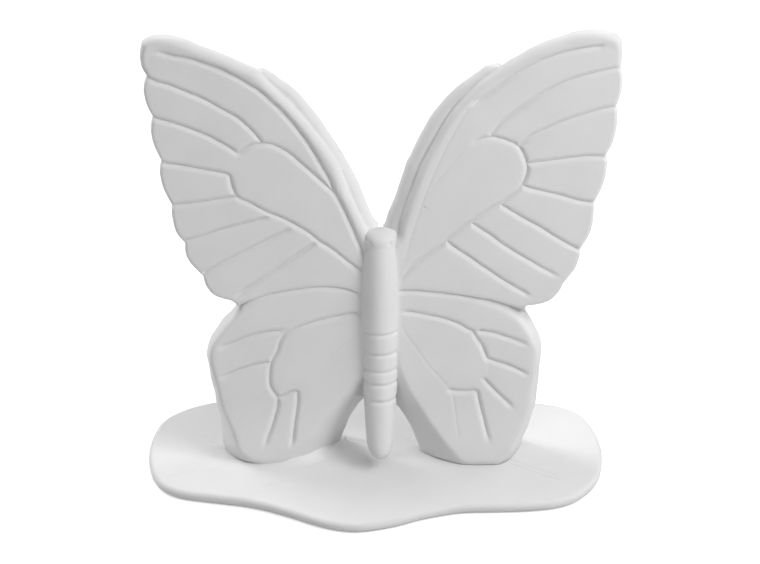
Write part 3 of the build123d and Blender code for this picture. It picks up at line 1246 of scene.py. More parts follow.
@dataclass
class Hindwing:
    """A hindwing: a leaf with a flared foot whose margins are turned back.

    Attributes:
        side: The side of the body.
        top: The hidden upper edge under the forewing, from the outer corner to the body.
        outer: The outer margin: column, row and depth, from the seam down past the slab.
        inner: The inner margin: column, row and depth, from past the slab up to the body.
        outer_crease: Where the front face turns back at the outer margin.
        inner_crease: Where it turns back at the inner margin.
        inner_softness: How softly it does so, in millimetres.
        veins: The grooves of the front.
        faint_veins: Grooves that are barely there.
        foot_depths: How deep the foot is at its outer and at its inner end.
        seam: The edge of the forewing, along which the face rolls back.
        seam_rolls: How wide that roll is at the outer and at the inner end.
        blend: The radius with which the face runs into the body.
        open_ends: Where grooves run out instead of meeting an edge or another groove.
        roll_slope: How far the roll goes back, as a share of its width.
        roll_turn: The share of the seam along which the roll narrows.
        waves: The unevenness of the front.
        forward: How far the foot stands forward of the wing.
        forward_height: The height over which it does so.
        undercut: How far the foot draws in at the slab.
        undercut_height: The height over which it does so.
        set_back: How far the face lies behind that of the forewing.
        top_thickness: The thickness at the top.
        least_thickness: What is left between the front and the back at a margin.
        flare_heights: Heights up the wing.
        flare_shares: How much of the foot's depth the back has there.
        inner_run: How far from the inner margin the foot is as deep as at its inner end.
        outer_softness: The radius of the crease at the outer margin.
        roundness: How much the turned-back margins bulge.
        spacing: The distance between the points of an outline.
    """

    side: Side
    top: Points
    outer: DeepPoints
    inner: DeepPoints
    outer_crease: Points
    inner_crease: Points
    inner_softness: float
    veins: list[Points]
    faint_veins: list[Points]
    foot_depths: tuple[float, float]
    seam: Points
    seam_rolls: tuple[float, float]
    blend: float
    open_ends: Points
    roll_slope: float = 0.34
    roll_turn: float = 0.35
    waves: HandWaves = HandWaves(0.14, 45.0, turn=0.7, start=3.0)
    forward: float = 2.2
    forward_height: float = 24.0
    undercut: float = 0.6
    undercut_height: float = 2.0
    set_back: float = 0.4
    top_thickness: float = 9.0
    least_thickness: float = 2.6
    flare_heights: tuple[float, ...] = (-8.0, 0.0, 5.2, 20.6, 43.0, 72.0)
    flare_shares: tuple[float, ...] = (1.1, 1.0, 0.84, 0.45, 0.12, 0.0)
    inner_run: float = 9.0
    outer_softness: float = 0.8
    roundness: float = 1.25
    spacing: float = 0.5

    def __post_init__(self) -> None:
        """Lay out the margins and their creases."""
        self.outer_line, self.outer_depth = self.margin(self.outer)
        self.inner_line, self.inner_depth = self.margin(self.inner)
        creases = [self.outer_crease, self.inner_crease, self.seam]
        folds = [Measure(line) for line in wing_lines(creases, self.set_back, self.spacing)]
        self.outer_fold, self.inner_fold, self.seam_edge = folds

    def margin(self, points: DeepPoints) -> tuple[np.ndarray, np.ndarray]:
        """Lay out a margin.

        Args:
            points: Its columns, rows and depths.

        Returns:
            The margin's line and how far back it lies at each of its points.
        """
        grid = np.array(points)
        flat = DRAWING.on_wing(grid[:, :2], grid[:, 2])
        run = flowing(np.column_stack([flat, grid[:, 2]]), self.spacing)
        return run[:, :2], run[:, 2]

    def turned_back(
        self, places: np.ndarray, fold: Measure, margin: np.ndarray, depths: np.ndarray, softness: float
    ) -> np.ndarray:
        """How far a turned-back margin takes the front back at each place.

        Args:
            places: Millimetres across and up.
            fold: The crease.
            margin: The margin's line.
            depths: How far back the margin lies at its points.
            softness: The radius of the crease.

        Returns:
            The depth below the flat front at each place.
        """
        distance, _, side = fold(places)
        to_margin, at_margin, _ = Measure(margin)(places)
        middle = len(margin) // 2
        out_side = fold(margin[middle : middle + 1])[2][0]
        bent = soft_ramp(np.where(side == out_side, distance, -distance), softness)
        share = bent / np.maximum(bent + to_margin, 0.05)
        return np.clip(share, 0.0, 1.0) ** self.roundness * (depths[at_margin] - self.set_back)

    def front_height(self, places: np.ndarray) -> np.ndarray:
        """Shape the front.

        Args:
            places: Millimetres across and up.

        Returns:
            Its height at each place, in millimetres.
        """
        up = places[:, 1]
        outer = self.turned_back(
            places, self.outer_fold, self.outer_line, self.outer_depth, self.outer_softness
        )
        inner = self.turned_back(
            places, self.inner_fold, self.inner_line, self.inner_depth, self.inner_softness
        )
        forward = self.forward * (1 - eased(up / self.forward_height))
        under = self.undercut * np.clip(1 - up / self.undercut_height, 0.0, 1.0) ** 2
        to_seam, at_seam, _ = self.seam_edge(places)
        widths = [*self.seam_rolls, self.seam_rolls[1]]
        wide = np.interp(at_seam / len(self.seam_edge.line), [0.0, self.roll_turn, 1.0], widths)
        roll = self.roll_slope * wide * np.clip(1 - to_seam / wide, 0.0, 1.0) ** 2
        flat = -self.set_back + forward - under + self.waves(places, self.side.value)
        height = flat - outer - inner - roll + body_fillet(places, self.blend)
        return np.maximum(height, self.back_height(places) + self.least_thickness)

    def back_height(self, places: np.ndarray) -> np.ndarray:
        """Shape the back, which flares towards the foot.

        Args:
            places: Millimetres across and up.

        Returns:
            Its height at each place, in millimetres.
        """
        share = np.interp(places[:, 1], self.flare_heights, self.flare_shares)
        low = np.abs(self.inner_line[:, 0]).min() + self.inner_run
        high = np.abs(self.outer_line[:, 0]).max()
        foot = np.interp(np.abs(places[:, 0]), [low, high], self.foot_depths[::-1])
        return -(self.set_back + self.top_thickness + (foot - self.top_thickness) * share)

    def build(self, space: WingSpace, finish: bpy.types.Material) -> bpy.types.Object:
        """Build the hindwing.

        Args:
            space: The plane of the wings.
            finish: Its material.

        Returns:
            The finished mesh object.
        """
        top = flowing(DRAWING.on_wing(self.top), self.spacing)
        bottom = even(np.array([self.outer_line[-1], self.inner_line[0]]), 1.0)
        closing = even(np.array([self.inner_line[-1], top[-1]]), 1.0)
        runs = [top[::-1], self.outer_line, bottom, self.inner_line, closing]
        radii = [Rim.HIDDEN, Rim.OUTER, Rim.HIDDEN, Rim.INNER, Rim.HIDDEN]
        line = np.vstack([run[:-1] for run in runs])
        rims = np.concatenate([np.full(len(run) - 1, rim.value) for run, rim in zip(runs, radii)])
        veins, faint = wing_lines(self.veins, self.set_back), wing_lines(self.faint_veins, self.set_back)
        fine = [*veins, *faint, self.outer_fold.line, self.inner_fold.line, self.seam_edge.line]
        places, faces = Relief(line, rims, self.front_height, self.back_height, fine, spacing=0.8).shell()
        wing = mesh_object(f"{self.side.word}_hindwing_skin", space.to_world(places), faces)
        ends = DRAWING.on_wing(self.open_ends, self.set_back)
        engrave(wing, space, [(VEIN_GRAVER, veins), (FAINT_GRAVER, faint)], self.front_height, ends, finish)
        cut_level(wing, space.floor)
        return wing


def cut_level(thing: bpy.types.Object, height: float) -> None:
    """Cut away what lies below a height and close the cut.

    Args:
        thing: The closed object to cut.
        height: The height in metres.
    """
    shell = bmesh.new()
    shell.from_mesh(thing.data)
    everything = shell.verts[:] + shell.edges[:] + shell.faces[:]
    cut = bmesh.ops.bisect_plane(
        shell, geom=everything, dist=1e-7, plane_co=(0, 0, height), plane_no=(0, 0, 1), clear_inner=True
    )
    rim = [part for part in cut["geom_cut"] if isinstance(part, bmesh.types.BMEdge)]
    bmesh.ops.triangle_fill(shell, use_beauty=True, use_dissolve=False, edges=rim)
    bmesh.ops.recalc_face_normals(shell, faces=shell.faces)
    shell.to_mesh(thing.data)
    shell.free()


@dataclass
class Body:
    """The body: a long rounded rod with a head, ring grooves and a free tail.

    Attributes:
        rings: The heights of the ring grooves.
        ring_points: How many points their lines have.
        eyes: The height of the dimples of the head.
        eye_turns: Where a dimple starts and ends, turned from the front.
        sides: The number of sides of the rod.
        step: The height of a row of its mesh.
    """

    rings: tuple[float, ...] = (52.6, 44.5, 37.6, 32.5, 25.9)
    ring_points: int = 200
    eyes: float = 88.2
    eye_turns: tuple[float, float] = (0.62, 0.66)
    sides: int = 112
    step: float = 0.34

    @staticmethod
    def ring(level: float, turns: np.ndarray) -> np.ndarray:
        """Find places round the body, where a quarter turn is its front.

        Args:
            level: Their height in millimetres.
            turns: How far round each one lies.

        Returns:
            Millimetres across, up and to the front.
        """
        half_width, half_depth, back = body_section(np.array([level]))[0]
        across, front = np.cos(turns) * half_width, np.sin(turns) * half_depth - back
        return np.column_stack([across, np.full(len(turns), level), front])

    def tree(self) -> Tree:
        """Make the tree that sweeps a circle along the spine.

        Returns:
            The tree.
        """
        tree = Tree("Turned body", {"Sides": ("NodeSocketInt", self.sides)})
        given = tree.start.outputs
        curve = tree.node("GeometryNodeMeshToCurve")
        tree.join(given["Geometry"], curve.inputs[0])
        circle = tree.node("GeometryNodeCurvePrimitiveCircle")
        tree.join(given["Sides"], circle.inputs["Resolution"])
        circle.inputs["Radius"].default_value = 1.0
        sweep = tree.node("GeometryNodeCurveToMesh")
        tree.join(curve.outputs[0], sweep.inputs["Curve"])
        tree.join(circle.outputs[0], sweep.inputs["Profile Curve"])
        sweep.inputs["Fill Caps"].default_value = True
        tree.end(sweep.outputs[0])
        return tree

    def build(self, space: WingSpace, finish: bpy.types.Material) -> bpy.types.Object:
        """Build the body.

        Args:
            space: The plane of the wings.
            finish: Its material.

        Returns:
            The finished mesh object.
        """
        low, high = BODY_SECTIONS[-1][0], BODY_SECTIONS[0][0]
        up = np.linspace(high, low, int((high - low) / self.step))
        spine = line_object("body_spine", [np.column_stack([up * 0, up * 0, up * MM])])
        self.tree().shape(spine, finish)
        mesh = spine.data
        flat = np.empty(len(mesh.vertices) * 3)
        mesh.vertices.foreach_get("co", flat)
        flat = flat.reshape(-1, 3)
        radius = np.hypot(flat[:, 0], flat[:, 1]) + 1e-9
        cosine, sine = flat[:, 0] / radius, flat[:, 1] / radius
        height = flat[:, 2] / MM
        half_width, half_depth, back = body_section(height).T
        places = np.column_stack([cosine * half_width, height, -sine * half_depth - back])
        mesh.vertices.foreach_set("co", space.to_world(places).ravel())
        mesh.update()
        bead = settle(spine)
        rings = [self.ring(level, np.linspace(0.0, 2 * math.pi, self.ring_points)) for level in self.rings]
        turns = np.array(self.eye_turns)
        eyes = [self.ring(self.eyes, math.pi / 2 + way * turns) for way in (-1, 1)]
        for tool, lines in ((RING_GRAVER, rings), (EYE_NEEDLE, eyes)):
            tool.cut(bead, [space.to_world(line) for line in lines], finish)
        return bead


@dataclass
class Slab:
    """The irregular slab, rolled by hand.

    Attributes:
        outline: Its silhouette, from the back over the left, front and right.
        scratches: Lines that tools left on it.
        crack: The short line between the feet.
        thickness: Its thickness.
        rim: How its edge is rounded.
        edge_share: How much of the underside's drop shows at the front edge.
        edge_rows: The row from which it shows, and over how many rows it comes in.
        hollow_depth: The depth of the hollow before the tail.
        hollow_middle: Where the hollow is, across and back from the feet.
        hollow_size: How wide and how deep it spreads.
        waves: The unevenness of the top.
        least_sunk: How far the top stays below the slab's full thickness.
    """

    outline: Points
    scratches: list[Points]
    crack: Points
    thickness: float = 4.0
    rim: float = 1.5
    edge_share: float = 0.8
    edge_rows: tuple[float, float] = (405.0, 60.0)
    hollow_depth: float = 1.1
    hollow_middle: tuple[float, float] = (-2.0, -9.0)
    hollow_size: tuple[float, float] = (22.0, 13.0)
    waves: HandWaves = HandWaves(0.12, 70.0, start=0.4)
    least_sunk: float = 0.15

    def line(self) -> np.ndarray:
        """Lay out the outline on the slab.

        Returns:
            Millimetres across and back from the feet.
        """
        start, run = self.edge_rows
        rows = np.array(self.outline)[:, 1]
        drop = DRAWING.underside_drop * self.edge_share * eased((rows - start) / run)
        closed = self.outline + self.outline[:1]
        return flowing(DRAWING.on_slab(closed, np.append(drop, drop[0])), 0.6)[:-1]

    def top_height(self, places: np.ndarray) -> np.ndarray:
        """Shape the hand-rolled top, with its shallow hollow.

        Args:
            places: Millimetres across and back from the feet.

        Returns:
            Its height at each place, in millimetres.
        """
        across, back = ((places - self.hollow_middle) / self.hollow_size).T
        hollow = np.exp(-(across**2) - back**2)
        waves = self.waves(places)
        return -self.hollow_depth * hollow - self.least_sunk + np.minimum(waves, self.least_sunk)

    def build(self, space: WingSpace, finish: bpy.types.Material) -> bpy.types.Object:
        """Build the slab.

        Args:
            space: The plane of the wings, whose floor is the slab's top.
            finish: Its material.

        Returns:
            The finished mesh object.
        """
        line = self.line()
        scratches = [flowing(DRAWING.on_slab(scratch), 0.4) for scratch in self.scratches]
        crack = flowing(DRAWING.on_slab(self.crack), 0.4)
        relief = Relief(
            line, np.full(len(line), self.rim), self.top_height,
            lambda places: np.full(len(places), -self.thickness), [*scratches, crack],
            spacing=1.1, back_spacing=4.0,
        )
        places, faces = relief.shell()
        slab = mesh_object("slab_skin", space.to_slab(places), faces)
        for tool, strokes in ((SCRATCH_NEEDLE, scratches), (RING_GRAVER, [crack])):
            tool.cut(slab, [space.to_slab(raised(stroke, self.top_height)) for stroke in strokes], finish)
        return slab


@dataclass
class FootSlip:
    """The skirt of joining slip round a foot.

    Attributes:
        side: The side of the body.
        skirt: The outer edge of the slip on the slab.
        reach: How far the slip runs out over the slab.
        height: How far it climbs up the foot.
        sunk: How far it is sunk into the slab at its edge.
        root: How deep its underside lies in the slab.
    """

    side: Side
    skirt: Points
    reach: float = 3.6
    height: float = 2.4
    sunk: float = 0.03
    root: float = 1.8

    def rise(self, distance: np.ndarray) -> np.ndarray:
        """The rise of the slip at a distance from its edge."""
        share = np.clip(distance / self.reach, 0.0, 1.0)
        return self.height * (1 - np.sqrt(np.maximum(1 - share**2, 0.0)))

    def build(self, space: WingSpace, slab: Slab) -> bpy.types.Object:
        """Build the skirt.

        Args:
            space: The plane of the wings, whose floor is the slab's top.
            slab: The slab on which it lies.

        Returns:
            The mesh object.
        """
        line = flowing(DRAWING.on_slab(self.skirt + self.skirt[:1]), 0.5)[:-1]
        edge = Measure(line, closed=True)
        relief = Relief(
            line, np.full(len(line), Rim.SLIP.value),
            lambda places: slab.top_height(places) + self.rise(edge(places)[0]) - self.sunk,
            lambda places: np.full(len(places), -self.root), spacing=0.5, back_spacing=3.0,
        )
        places, faces = relief.shell()
        return mesh_object(f"{self.side.word}_slip_skin", space.to_slab(places), faces)


# The shapes


def paced(first: int, step: int, *rows: float) -> Points:
    """Lay out points whose columns are evenly spaced."""
    return [(first + step * number, row) for number, row in enumerate(rows)]


VEIN_GRAVER = Graver(width=3.8, depth=1.1)
FAINT_GRAVER = Graver(width=2.4, depth=0.13)
PIT_NEEDLE = Graver(width=1.1, depth=0.4, sharpness=1.0)
RING_GRAVER = Graver(width=3.2, depth=0.75)
EYE_NEEDLE = Graver(width=3.4, depth=0.6)
SCRATCH_NEEDLE = Graver(width=1.8, depth=0.2)

# Lines that two shapes share: the seams between the wings, and the feet of the beads
LEFT_SEAM: Points = [
    *paced(270, 10, 294.5, 293, 291, 289.5, 288, 287.5, 287.5, 288.5, 290.5), (357, 293),
]
RIGHT_SEAM: Points = [
    (516, 309.3), (507, 305.8), *paced(500, -10, 303.2, 300.5, 298.8, 297.2, 295.5, 294, 293, 292, 291,
    290.5), (403, 291),
]
LEFT_BEAD_GROOVE: Points = [
    (165, 56), (175, 58.5), *paced(190, 10, 61, 64, 67.5, 71, 76, 81, 87, 93, 102, 111, 121.5, 134, 148),
    (318, 161), (325, 173), (330, 182), (333, 191), (340, 203), (350, 224), (357, 240), (362, 252),
]
RIGHT_BEAD_GROOVE: Points = [
    *paced(590, -10, 50, 51.5, 53.5, 56, 59.5, 63, 68, 73.5, 79.5, 87, 95, 101.5),
]
RIGHT_RIDGE: Points = [
    *paced(460, -10, 122, 140, 160, 182), (425, 195), (418, 215), (412, 233), (405, 258),
]

LEFT_FOREWING = Forewing(
    Side.LEFT,
    leading=[
        (373, 240), (368, 229), *paced(365, -5, 224.5, 214, 203, 193, 180), (338, 163),
        *paced(330, -10, 150.5, 136.5, 123.5, 112, 101, 92, 82.5), (264, 76), (258, 70.5),
        *paced(250, -10, 66.5, 62.5, 58, 54, 50, 46.5, 42, 39, 37.5, 37), (155, 38), (150, 40), (145, 44),
        (143, 50), (142, 57), (142, 62), (143.5, 70), (146, 75), (149, 79),
    ],
    scallops=[
        [(149, 79), (145.5, 90), (146.5, 100), (149, 108), (154.5, 119)],
        [(154.5, 119), (152.5, 130), (153.5, 140), (156, 148), (163, 163)],
        [(163, 163), (161, 172), (162, 180), (164, 188), (167, 195), (173, 206)],
        [(173, 206), (172.8, 214), (174, 222), (176, 230), (179, 236), (186, 244)],
        [(186, 244), (186, 250), (187, 256), (190, 262), (194, 267), (204, 277)],
        [(204, 277), (206, 285), (209, 290), (213, 294.5), (218, 297.5), (225, 299.7), (233, 302),
         (239, 308)],
    ],
    seam=[(239, 308), (246, 304.5), (252, 301.3), (258, 298.7), *LEFT_SEAM, (370, 297)],
    rib=[
        (378, 225), *paced(375, -5, 221, 213, 202, 190, 180, 170.5), *paced(340, -10, 153, 138, 122.5,
        109.5, 97, 87, 80), (275, 76), (270, 73), (265, 71), (261, 71), (257, 74),
    ],
    veins=[
        [(158, 55), *LEFT_BEAD_GROOVE, (365, 260)],
        [(151, 81), *paced(160, 10, 84.5, 87, 91, 95, 99, 104, 109.5, 115, 121, 130), (257, 137),
         (262, 144)],
        [(155, 119), *paced(160, 10, 121, 123.5, 126.5, 130, 134, 138, 143.5, 149), (239, 154.5),
         (245, 151), (252, 147), (262, 145), *paced(270, 10, 145.5, 149, 155, 163.5, 172, 181, 190),
         (334, 193)],
        [(163, 164), (180, 166.5), (200, 170), (220, 173.5), (229, 176), (231, 180), (232.5, 187),
         (235, 193), (238, 198), *paced(250, 10, 203.5, 209, 214, 217.5, 222.5, 228, 234), (318, 241),
         *paced(330, 10, 248.5, 256, 264, 271)],
        [(174, 206), (190, 204.5), (210, 202), (225, 199.5), (236, 197.5)],
        [(187, 241), *paced(200, 20, 238, 231, 226, 220.5), (270, 217)],
        [(205, 273), *paced(220, 20, 265, 254.5, 244.5, 235), (292, 229)],
        [*paced(235, 15, 297, 287, 277, 267), (300, 254), (310, 247.5), (317, 242)],
    ],
    tip_column=190,
    bead_foot=[(149, 79), (148, 74), (148, 67), (151, 60), (158, 56), *LEFT_BEAD_GROOVE, (368, 268)],
    blend=1.5,
    open_ends=[(158, 55), (270, 217), (292, 229), (317, 242), (235, 297)],
)

RIGHT_FOREWING = Forewing(
    Side.RIGHT,
    leading=[
        (388, 246), (397, 235), (400, 222), (403, 212), (407, 200), (412, 187), (419, 168), (425, 156),
        (432, 143), *paced(440, 10, 128, 112, 100, 90, 81, 74, 67.5, 61, 55.5, 49.5, 45, 41, 38, 35, 33, 32,
        32.5, 35), (615, 38), (619, 44), (620, 52), (620, 60), (618.5, 70),
    ],
    scallops=[
        [(618.5, 70), (620, 80), (620, 90), (618.5, 97), (614.5, 108)],
        [(614.5, 108), (615.5, 118), (615, 128), (613, 138), (610, 147), (604, 157)],
        [(604, 157), (605.5, 163), (605, 172), (603, 182), (600, 190), (594, 202)],
        [(594, 202), (593, 210), (592.5, 218), (591, 227), (588, 236), (580, 249)],
        [(580, 249), (579, 256), (577, 263), (574, 270), (570, 275), (562, 285)],
        [(562, 285), (560, 290), (556, 295), (551, 300), (545, 303), (540, 304.5), (533, 306), (526, 307),
         (525, 312)],
    ],
    seam=[(525, 312), *RIGHT_SEAM, (391, 293)],
    rib=[
        (383, 227), (386, 221), (388, 214), (391, 208), (396, 197), (399, 188), (403, 177), (407, 165),
        *paced(410, 5, 160, 149, 139, 130, 121), *paced(440, 10, 108, 96.5, 87, 79, 71.5), (487, 67),
        (493, 66), (499, 66.5), (503, 70),
    ],
    veins=[
        [(603, 48), *RIGHT_BEAD_GROOVE, (470, 107)],
        [(617, 70), *paced(610, -10, 71, 73.5, 76, 79, 82, 86, 91, 96.5, 103, 110, 117, 124.5, 136)],
        [(614, 108.5), *paced(600, -10, 111, 114, 117, 120.5, 124, 128.5, 132.5, 138, 146), (517, 148)],
        [*paced(470, 10, 146, 140.5, 138.5, 140, 143.5), (517, 147.5), (521, 153), (525, 163), (526, 170),
         (525, 176), (522, 183), *paced(520, -10, 187, 196, 204, 209.5, 216, 223.5, 230, 237.5, 246, 253,
         260, 269), (401, 279)],
        [(604, 158), (590, 157.5), (580, 158), (560, 160.5), (540, 163), (526, 165)],
        [(594, 203.5), (585, 203), *paced(575, -15, 201, 196.5, 193, 189.5), (521, 186.5)],
        [*paced(580, -10, 251, 246.5, 241, 235, 228.5, 223, 217.5, 211.5), (501, 206)],
        [(557, 276), *paced(550, -10, 273, 268, 262, 256, 250, 243.5, 236, 229.5), (472, 224.5)],
        [*paced(530, -10, 296, 291, 285, 279, 272, 265.5, 258.5, 252, 245), (447, 242)],
    ],
    faint_veins=[
        [(470, 107), *RIGHT_RIDGE],
        [(470, 146), (462, 152), (455, 160), (446, 171), (437, 181), (430, 190)],
    ],
    pits=[
        [(423.7, 207.8), (424.3, 208.2)],
    ],
    tip_column=560,
    bead_foot=[
        (618.5, 70), (617, 65), (616, 58), (611, 51), (603, 48.5), *RIGHT_BEAD_GROOVE, (470, 109),
        *RIGHT_RIDGE, (398, 276),
    ],
    blend=3.8,
    bead_height=0.45,
    open_ends=[(603, 48), (470, 107), (470, 146), (557, 276), (530, 296)],
)

LEFT_HINDWING = Hindwing(
    Side.LEFT,
    top=[
        (243, 299), (258, 294.5), *paced(270, 10, 290.5, 289, 287, 285.5, 284, 283.5, 283.5, 284.5, 286.5),
        (370, 291),
    ],
    outer=[
        (243, 299, 6), (237, 306, 6.3), (232, 312, 6.6), (225, 318, 7), (217, 329, 7.5), (211, 338, 8),
        (208, 347, 8.3), (207, 355, 8.6), (208.5, 362, 9), (210, 370, 9.2), (211, 378, 9.6), (213, 385, 10),
        (215, 392, 10.4), (216, 400, 11), (218, 408, 11.5), (221, 420, 12), (222, 430, 12.5),
        (223, 440, 12.9), (225, 447, 13), (226, 456, 13), (227, 464, 13),
    ],
    inner=[
        (340, 456, 20.6), (340, 447, 20.6), (341, 437, 20.6), (346, 425, 19), (350, 415, 17.5),
        (355, 408, 15.5), (360, 402, 13.5), (366, 397, 12), (371, 388, 11),
    ],
    outer_crease=[
        (250, 296), *paced(240, -5, 311, 316, 322, 328, 333, 339), (211, 346), (209.5, 353), (210.5, 362),
        (212.5, 372), (215.5, 380), (218, 388), (219, 395), (220, 402), (223, 410), *paced(227, 3, 417, 424,
        431, 438), (238, 446), (244, 452), (252, 457), (262, 462), (275, 470),
    ],
    inner_crease=[
        (370, 360), (362, 372), *paced(350, -10, 388, 400, 413, 422, 434, 443, 452, 462), (275, 470),
    ],
    inner_softness=1.3,
    veins=[
        [(357, 314), *paced(350, -10, 314.5, 316.5, 318.5, 321, 324, 327.5), (295, 330), (290, 332.5)],
        [*paced(280, -10, 331.5, 332, 334, 336.5, 340.5, 344.5), (218, 349)],
        [(219, 378.5), *paced(230, 10, 374.5, 370, 367, 364.5, 363)],
        [(278, 399), (277, 408), (275, 415), (272, 425), (268, 435), (264, 445)],
        [(278, 398), (285, 396), (292, 392.5), (297, 392), (297.5, 396), (297, 405), (295, 420), (293, 435),
         (291.5, 446)],
        [(284, 336), (280, 342), (277, 352), (272, 361), (270, 370), (269.5, 378), (270, 385), (273, 391),
         (278, 398)],
    ],
    faint_veins=[
        [(268, 388), (255, 400), (243, 413), (236, 422)],
        [(355, 335), (343, 344), (330, 355)],
    ],
    foot_depths=(15.6, 23.0),
    seam=[(246, 304), (252, 301), (258, 298.5), *LEFT_SEAM],
    seam_rolls=(3.0, 2.2),
    blend=1.5,
    open_ends=[(218, 349), (219, 378.5), (264, 445), (291.5, 446)],
)

RIGHT_HINDWING = Hindwing(
    Side.RIGHT,
    top=[
        (522, 303), *paced(510, -10, 300.5, 298.5, 296.5, 295, 293.3, 291.5, 290, 289, 288, 287, 286.5),
        (403, 287), (391, 288),
    ],
    outer=[
        (522, 303, 7), (526, 312, 7.5), (530, 318, 8), (535, 327, 8.5), (539, 335, 9), (541, 343, 9.4),
        (541, 352, 10), (539.5, 365, 10.7), (538.5, 378, 11.5), (537, 390, 12.4), (536, 400, 13.4),
        (533, 410, 14.6), (530, 420, 16), (527, 428, 17), (524, 433, 17.6), (522, 440, 18), (521, 452, 18),
        (520, 462, 18),
    ],
    inner=[
        (421, 464, 12), (421, 456, 12), (420, 448, 12), (417, 440, 12), (413, 430, 12), (408, 420, 12),
        (402, 410, 12), (397.5, 404.5, 11.5), (392, 398, 11), (387, 388, 10.5),
    ],
    outer_crease=[
        (480, 290), (490, 299), (503, 305), (510, 312), (520, 322), (528, 332), (533, 340), (537.5, 350),
        (538, 360), (536.5, 370), (534.5, 385), (532.5, 395), (530.5, 408), (526.5, 420), (521, 432),
        (516, 442), (512, 450), (505, 457), (495, 466), (490, 474),
    ],
    inner_crease=[
        (393, 335), (399, 355), (402, 368), (406, 380), (412, 393), *paced(420, 10, 405, 420, 433, 445),
        (458, 453), (465, 461), (472, 470),
    ],
    inner_softness=0.6,
    veins=[
        [(401, 312), *paced(410, 10, 312.5, 314, 316, 318, 321, 325), (467, 329.5), (472, 331.5),
         (476, 338), (481, 345), (485, 354), (487, 359)],
        [*paced(480, 10, 331.5, 332.5, 335, 338.5, 342), (528, 345)],
        [(487, 359), (495, 361.5), (505, 364.5), (515, 368.5), (522, 372), (528, 375.5)],
        [(484, 380), (490, 386), (497, 393), (505, 400.5), (513, 408)],
        [(450, 390), (455, 391), (465, 391.5), (476, 391.5), (478, 398), *paced(480, 3, 407, 418, 430,
         440)],
    ],
    faint_veins=[
        [(487, 359), (488.5, 368), (487, 376), (484, 381), (476, 391)],
        [*paced(452, 2, 393, 405, 420, 432)],
        [(402, 326), (405, 333), (412, 343), *paced(420, 10, 354, 367, 378, 389)],
    ],
    foot_depths=(20.6, 14.6),
    seam=[*RIGHT_SEAM],
    seam_rolls=(5.0, 2.4),
    blend=3.4,
    open_ends=[(401, 312), (528, 345), (528, 375.5), (513, 408), (489, 440)],
)

SLAB = Slab(
    outline=[
        (215, 401), (203, 403.5), (188, 407.5), (177, 412), (167, 417.5), (160, 424), (156, 431),
        (152.5, 440), (150, 450), (148.8, 460), (149.5, 468), (151.5, 476), (154.5, 482), (160, 488.5),
        (168, 493.5), (176, 496.5), (188, 499), (200, 500.5), (213, 502), (226, 503.5), (240, 505),
        (255, 507.5), *paced(270, 20, 510.8, 516.3, 522.5, 527.5), (352, 530.2), (366, 529.6), (382, 527.5),
        *paced(400, 20, 524, 518.7, 514.8, 512, 511.2), (505, 510.8), (530, 509.8), (555, 507.3),
        (573, 502.3), (584, 496), (592, 489.5), (598, 481), (601.5, 469), (602, 457), (600, 446),
        (596.5, 436), (591.5, 426), (585, 417.5), (575, 410.5), (560, 405.5), (540, 402.5), (500, 399.5),
        (450, 398), (380, 398), (300, 398), (240, 399.5),
    ],
    scratches=[
        [(170, 475), (185, 472), (210, 466), (230, 461)],
        [(200, 470), (215, 466.5), (226, 464)],
        [(265, 485), (277, 482), (290, 478)],
        [(505, 461), (530, 470), (555, 478)],
        [(508, 458), (532, 467), (556, 475)],
        [(208, 441), (212, 443.5), (215, 442)],
        [(211, 446), (216, 447.5), (222, 446.5)],
        [(213, 439), (217, 441.5), (219, 445)],
        [(218, 449.5), (223, 448.5), (226, 451)],
        [(403, 438.5), (407, 440), (411, 438.5)],
        [(406, 441.5), (411, 442), (415, 440.5)],
    ],
    crack=[(341, 436), (350, 438.7), (358, 440.2), (366, 441.3)],
)

LEFT_SLIP = FootSlip(
    Side.LEFT,
    skirt=[
        (223, 447), (229, 452.5), (236, 458.5), (245, 462.5), (255, 465.5), (265, 467.5), (280, 468.5),
        (292, 468), (305, 466), (318, 462), (330, 456), (338, 448), (343, 440), (345, 434), (338, 430),
        (300, 434), (260, 439), (228, 442),
    ],
)

RIGHT_SLIP = FootSlip(
    Side.RIGHT,
    skirt=[
        (522, 440), (519, 450), (514, 455), (505, 459.5), (495, 462.5), *paced(480, -10, 464.5, 465, 464,
        461.5, 458, 454, 448), (416, 444), (424, 442), (470, 438), (515, 435), (521, 436),
    ],
)


# The studio


@dataclass(frozen=True)
class Lamp:
    """A square soft lamp that shines at the ornament.

    Attributes:
        name: The lamp's name.
        place: Where it hangs, in metres.
        size: The length of its sides, in metres.
        power: Its power in watts.
        aim: Where it shines.
    """

    name: str
    place: tuple[float, float, float]
    size: float
    power: float
    aim: tuple[float, float, float] = (0.0, 0.0, 0.08)

    def hang(self) -> None:
        """Hang the lamp and point it."""
        light = bpy.data.lights.new(self.name, "AREA")
        light.size, light.energy = self.size, self.power
        thing = bpy.data.objects.new(self.name, light)
        bpy.context.scene.collection.objects.link(thing)
        thing.location = self.place
        thing.rotation_euler = (Vector(self.aim) - Vector(self.place)).to_track_quat("-Z", "Y").to_euler()


LAMPS = (
    Lamp("overhead_behind", (0.0, 0.8, 1.4), 1.0, 2.2),
    Lamp("overhead_front", (0.0, -0.8, 1.4), 1.0, 4.2),
    Lamp("left_behind", (-0.8, 0.72, 0.85), 0.55, 6.8),
    Lamp("right_behind", (0.8, 0.72, 0.85), 0.55, 2.7),
    Lamp("left_side", (-1.1, 0.3, 0.85), 0.55, 3.8),
    Lamp("key", (0.68, -0.2, 0.91), 0.22, 2.6),
    Lamp("right_wing", (0.5, -0.4, 0.5), 0.3, 2.4),
)


